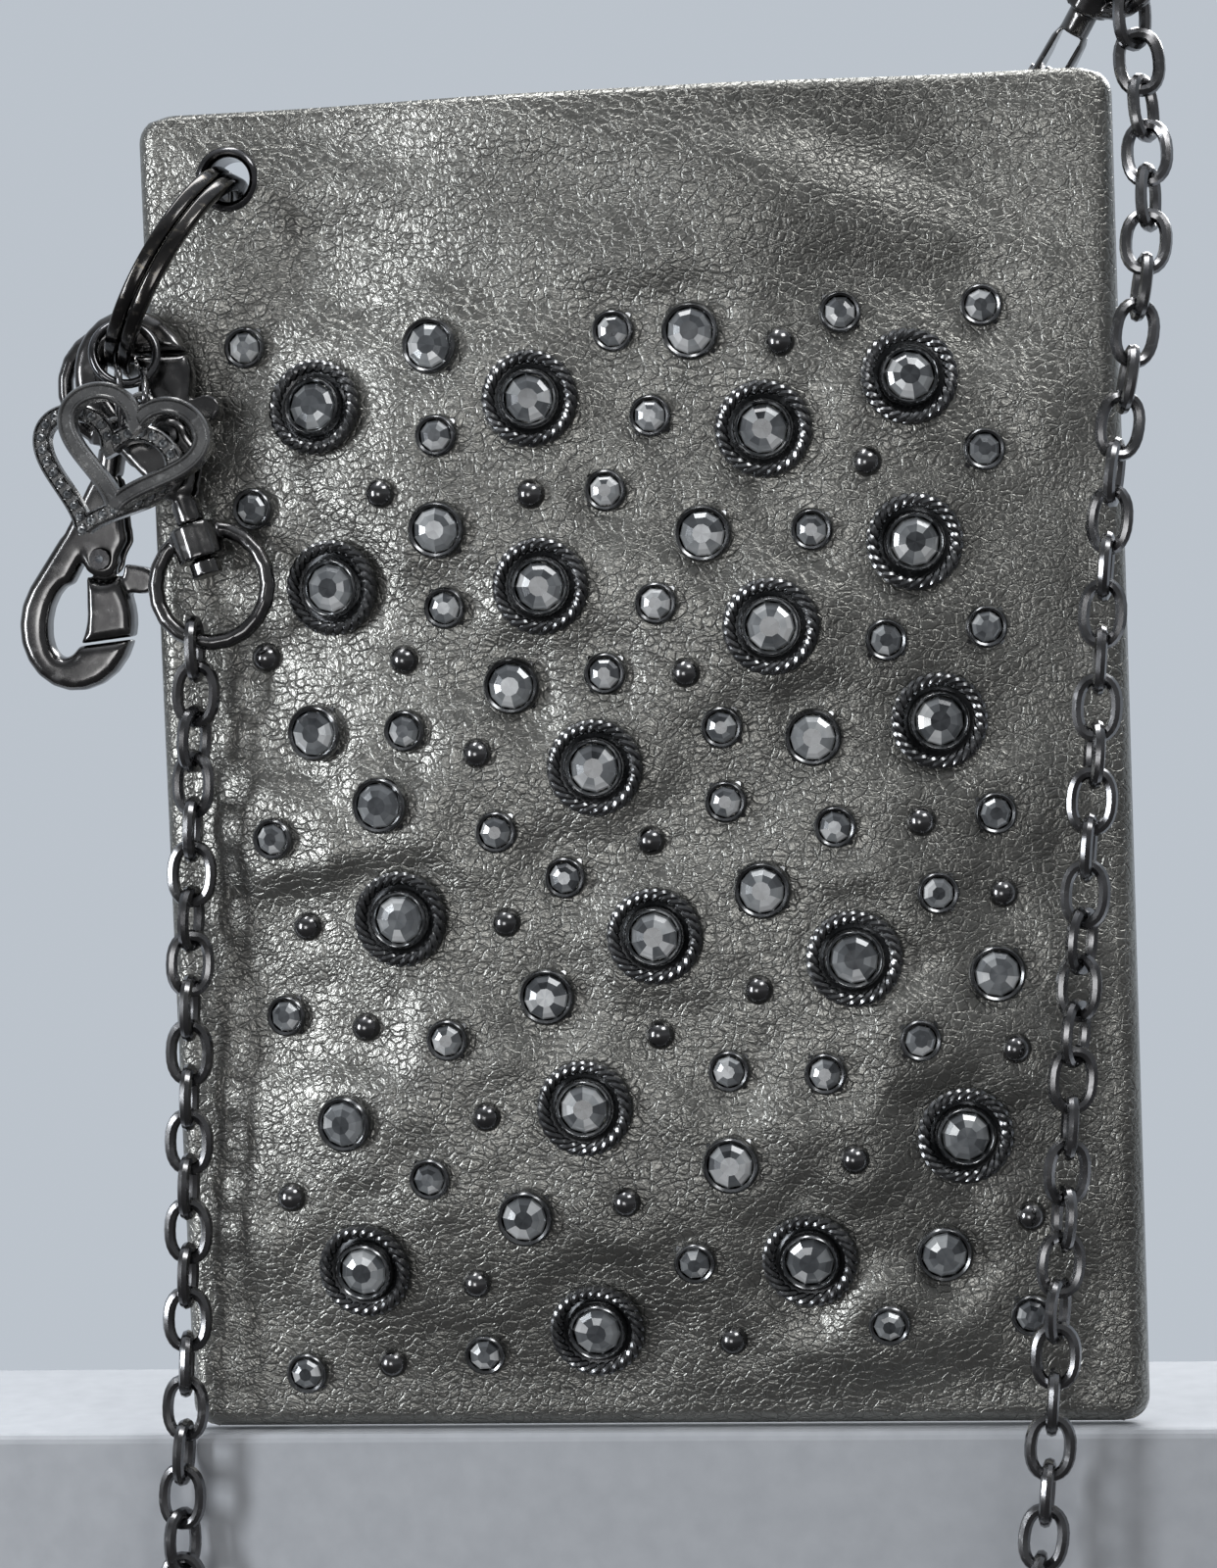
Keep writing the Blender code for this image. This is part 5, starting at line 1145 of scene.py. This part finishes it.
def build_heart(name, node, thickness, place, lean, forward, rim, sunk, stones):
    """A flat band along the heart's line, with raised rims and a sunk middle."""
    half, y, ease = HEART_BAND / 2, thickness / 2, HEART_EASE
    profile = [
        (half, y - ease), (half, -y + ease), (half - ease, -y), (half - rim, -y),
        (half - rim - ease, -y + sunk), (-half + rim + ease, -y + sunk), (-half + rim, -y),
        (-half + ease, -y), (-half, -y + ease), (-half, y - ease), (-half + ease, y), (half - ease, y),
    ]
    rings = np.stack([np.insert(heart_outline(o), 1, depth, axis=1) for o, depth in profile], 1)
    base = Matrix.Translation(place) @ Matrix.Rotation(-forward, 4, "X") @ Matrix.Rotation(lean, 4, "Y")
    piece = Piece()
    faces = grid_faces(len(rings), len(profile), True, True)
    piece.add(placed(rings.reshape(-1, 3), base), faces.tolist(), 0)
    middle = (0, 0, heart_height_of(HEART_NOTCH) + half + LUG_RADIUS)
    turn = np.linspace(0, 2 * math.pi, LUG_STEPS, endpoint=False)
    lug = np.c_[np.cos(turn) * LUG_RADIUS, np.zeros(LUG_STEPS), np.sin(turn) * LUG_RADIUS] + middle
    points, faces = swept(lug, round_section(LUG_WIRE_RADIUS, 10))
    piece.add(placed(points, base), faces, 0)
    if stones:
        line = spaced(np.insert(heart_outline(0.0), 1, 0.0, axis=1), PAVE_PITCH)
        for number, spot in enumerate(line[1:-1]):
            seat = base @ frame_of(Vector(spot) + Vector((0, -y + sunk, 0)), (1, 0, 0), (0, -1, 0))
            set_small_stone(piece, seat, number)
    made = piece.build(name, [ANTIQUE, STONE, SETTING], sharp=32, flat=1)
    finished(made, f"{node}_charm", "antique_silver", f"{node}_heart")


def set_small_stone(piece, seat, number):
    """A stone of the stone-set heart in its low cup, with a bead of metal on either side."""
    cup, cup_faces = revolved(PAVE_CUP, 14)
    piece.add(placed(cup, seat), cup_faces.tolist(), 2)
    cut_stone(piece, seat, PAVE_STONE_RADIUS, PAVE_STONE_LOW, PAVE_STONE_HIGH, 8, 1, number * 0.4)
    dome = np.linspace(-1.2, math.pi / 2, 5)
    shape = np.c_[np.cos(dome), np.sin(dome)] * BEAD_RADIUS
    shape[-1, 0] = 0.0
    ball, ball_faces = revolved(shape, 8)
    for way in (-1, 1):
        bead = np.array(Matrix.Translation((0.0, way * BEAD_OFFSET, BEAD_RISE)))
        piece.add(placed(ball, np.array(seat) @ bead), ball_faces.tolist(), 0)


ROUND_ENOUGH = 0.0003


def ring_from_node(name, node, body, finish, wire, steps=48, sides=12):
    """A round or oval wire ring on a node's own middle, width and length."""
    base = principal_frame(node)
    own = placed(node_points(node), base.inverted())
    half_x, half_z = np.abs(own[:, 0]).max(), np.abs(own[:, 2]).max()
    loop, faces = link_loop(2 * half_z, 2 * half_x, wire, steps, sides)
    if abs(half_x - half_z) < ROUND_ENOUGH:
        turn = np.linspace(0, 2 * math.pi, steps, endpoint=False)
        circle = np.c_[np.cos(turn) * (half_x - wire), np.zeros(steps), np.sin(turn) * (half_z - wire)]
        loop, faces = swept(circle, round_section(wire, sides))
    piece = Piece()
    piece.add(placed(loop, base), faces)
    finished(piece.build(name, [finish], sharp=60), body, "black_nickel", node)


build_heart(
    "heart_plain_band", "plain", PLAIN_THICKNESS, PLAIN_PLACE, PLAIN_LEAN, PLAIN_FORWARD,
    PLAIN_RIM, PLAIN_SUNK, stones=False,
)
build_heart(
    "heart_stone_band", "pave", PAVE_THICKNESS, PAVE_PLACE, PAVE_LEAN, PAVE_FORWARD,
    PAVE_RIM, PAVE_SUNK, stones=True,
)
ring_from_node("charm_ring_wire", "charm_ring", "charm_ring", BLACK_NICKEL, 0.00065)
ring_from_node("plain_link_wire", "plain_link", "plain_charm", LINK_NICKEL, 0.00045, 28, 8)
ring_from_node("pave_link_wire", "pave_link", "pave_charm", LINK_NICKEL, 0.00045, 28, 8)


# Cast clasps


def cast_copy(name, node, body, cell, rounds, finish):
    """A cast piece: the node's solid drawn again in fine cells, with its edges melted by smoothing."""
    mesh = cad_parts[node].data.copy()
    work = bmesh.new()
    work.from_mesh(mesh)
    bmesh.ops.remove_doubles(work, verts=work.verts, dist=1e-6)
    work.to_mesh(mesh)
    work.free()
    made = bpy.data.objects.new(name, mesh)
    bpy.context.scene.collection.objects.link(made)
    cells = made.modifiers.new("cells", "REMESH")
    cells.mode = "VOXEL"
    cells.voxel_size = cell
    cells.use_smooth_shade = True
    melt = made.modifiers.new("melt", "SMOOTH")
    melt.factor = 0.5
    melt.iterations = rounds
    graph = bpy.context.evaluated_depsgraph_get()
    result = bpy.data.meshes.new_from_object(made.evaluated_get(graph))
    made.modifiers.clear()
    made.data = result
    made.data.name = name
    result.materials.clear()
    result.materials.append(finish)
    result.shade_smooth()
    finished(made, body, "black_nickel", node)


# The bodies of each clasp's claw and pin, gate and eye; then, for each casting, its name, its node,
# its body, the size of its cells and the rounds that melt its edges

CLASP_BODIES = {
    "left": ("strap", "left_gate", "left_eye"),
    "right": ("strap", "right_gate", "right_eye"),
    "key": ("key_clasp", "key_gate", "key_eye"),
}
for clasp, (shank, gate, eye) in CLASP_BODIES.items():
    for name, node, body, cell, rounds in (
        ("claw_casting", "clasp_body", shank, 0.00022, 22),
        ("gate_casting", "gate", gate, 0.00020, 14),
        ("eye_casting", "eye", eye, 0.00022, 8),
        ("pin_turned", "swivel_pin", shank, 0.00018, 3),
    ):
        cast_copy(f"{clasp}_{name}", f"{clasp}_{node}", body, cell, rounds, CAST_NICKEL)
cast_copy("d_ring_wire", "d_ring", "d_ring", 0.00022, 6, BLACK_NICKEL)

# The small pieces that the CAD already shows well take only their finishes

for names, finish in (
    (("left_gate_rivet", "right_gate_rivet", "key_gate_rivet", "eyelet_washer"), BLACK_NICKEL),
    (("left_gate_spring", "right_gate_spring", "key_gate_spring", "snap_front", "snap_back"), SPRING),
    (("lining",), LINING_CLOTH),
    (("front_stiffener", "chain_hank_tie"), BOARD),
    (("d_ring_tab",), PEWTER_LEATHER),
):
    for name in names:
        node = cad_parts[name]
        node.data.materials.clear()
        node.data.materials.append(finish)
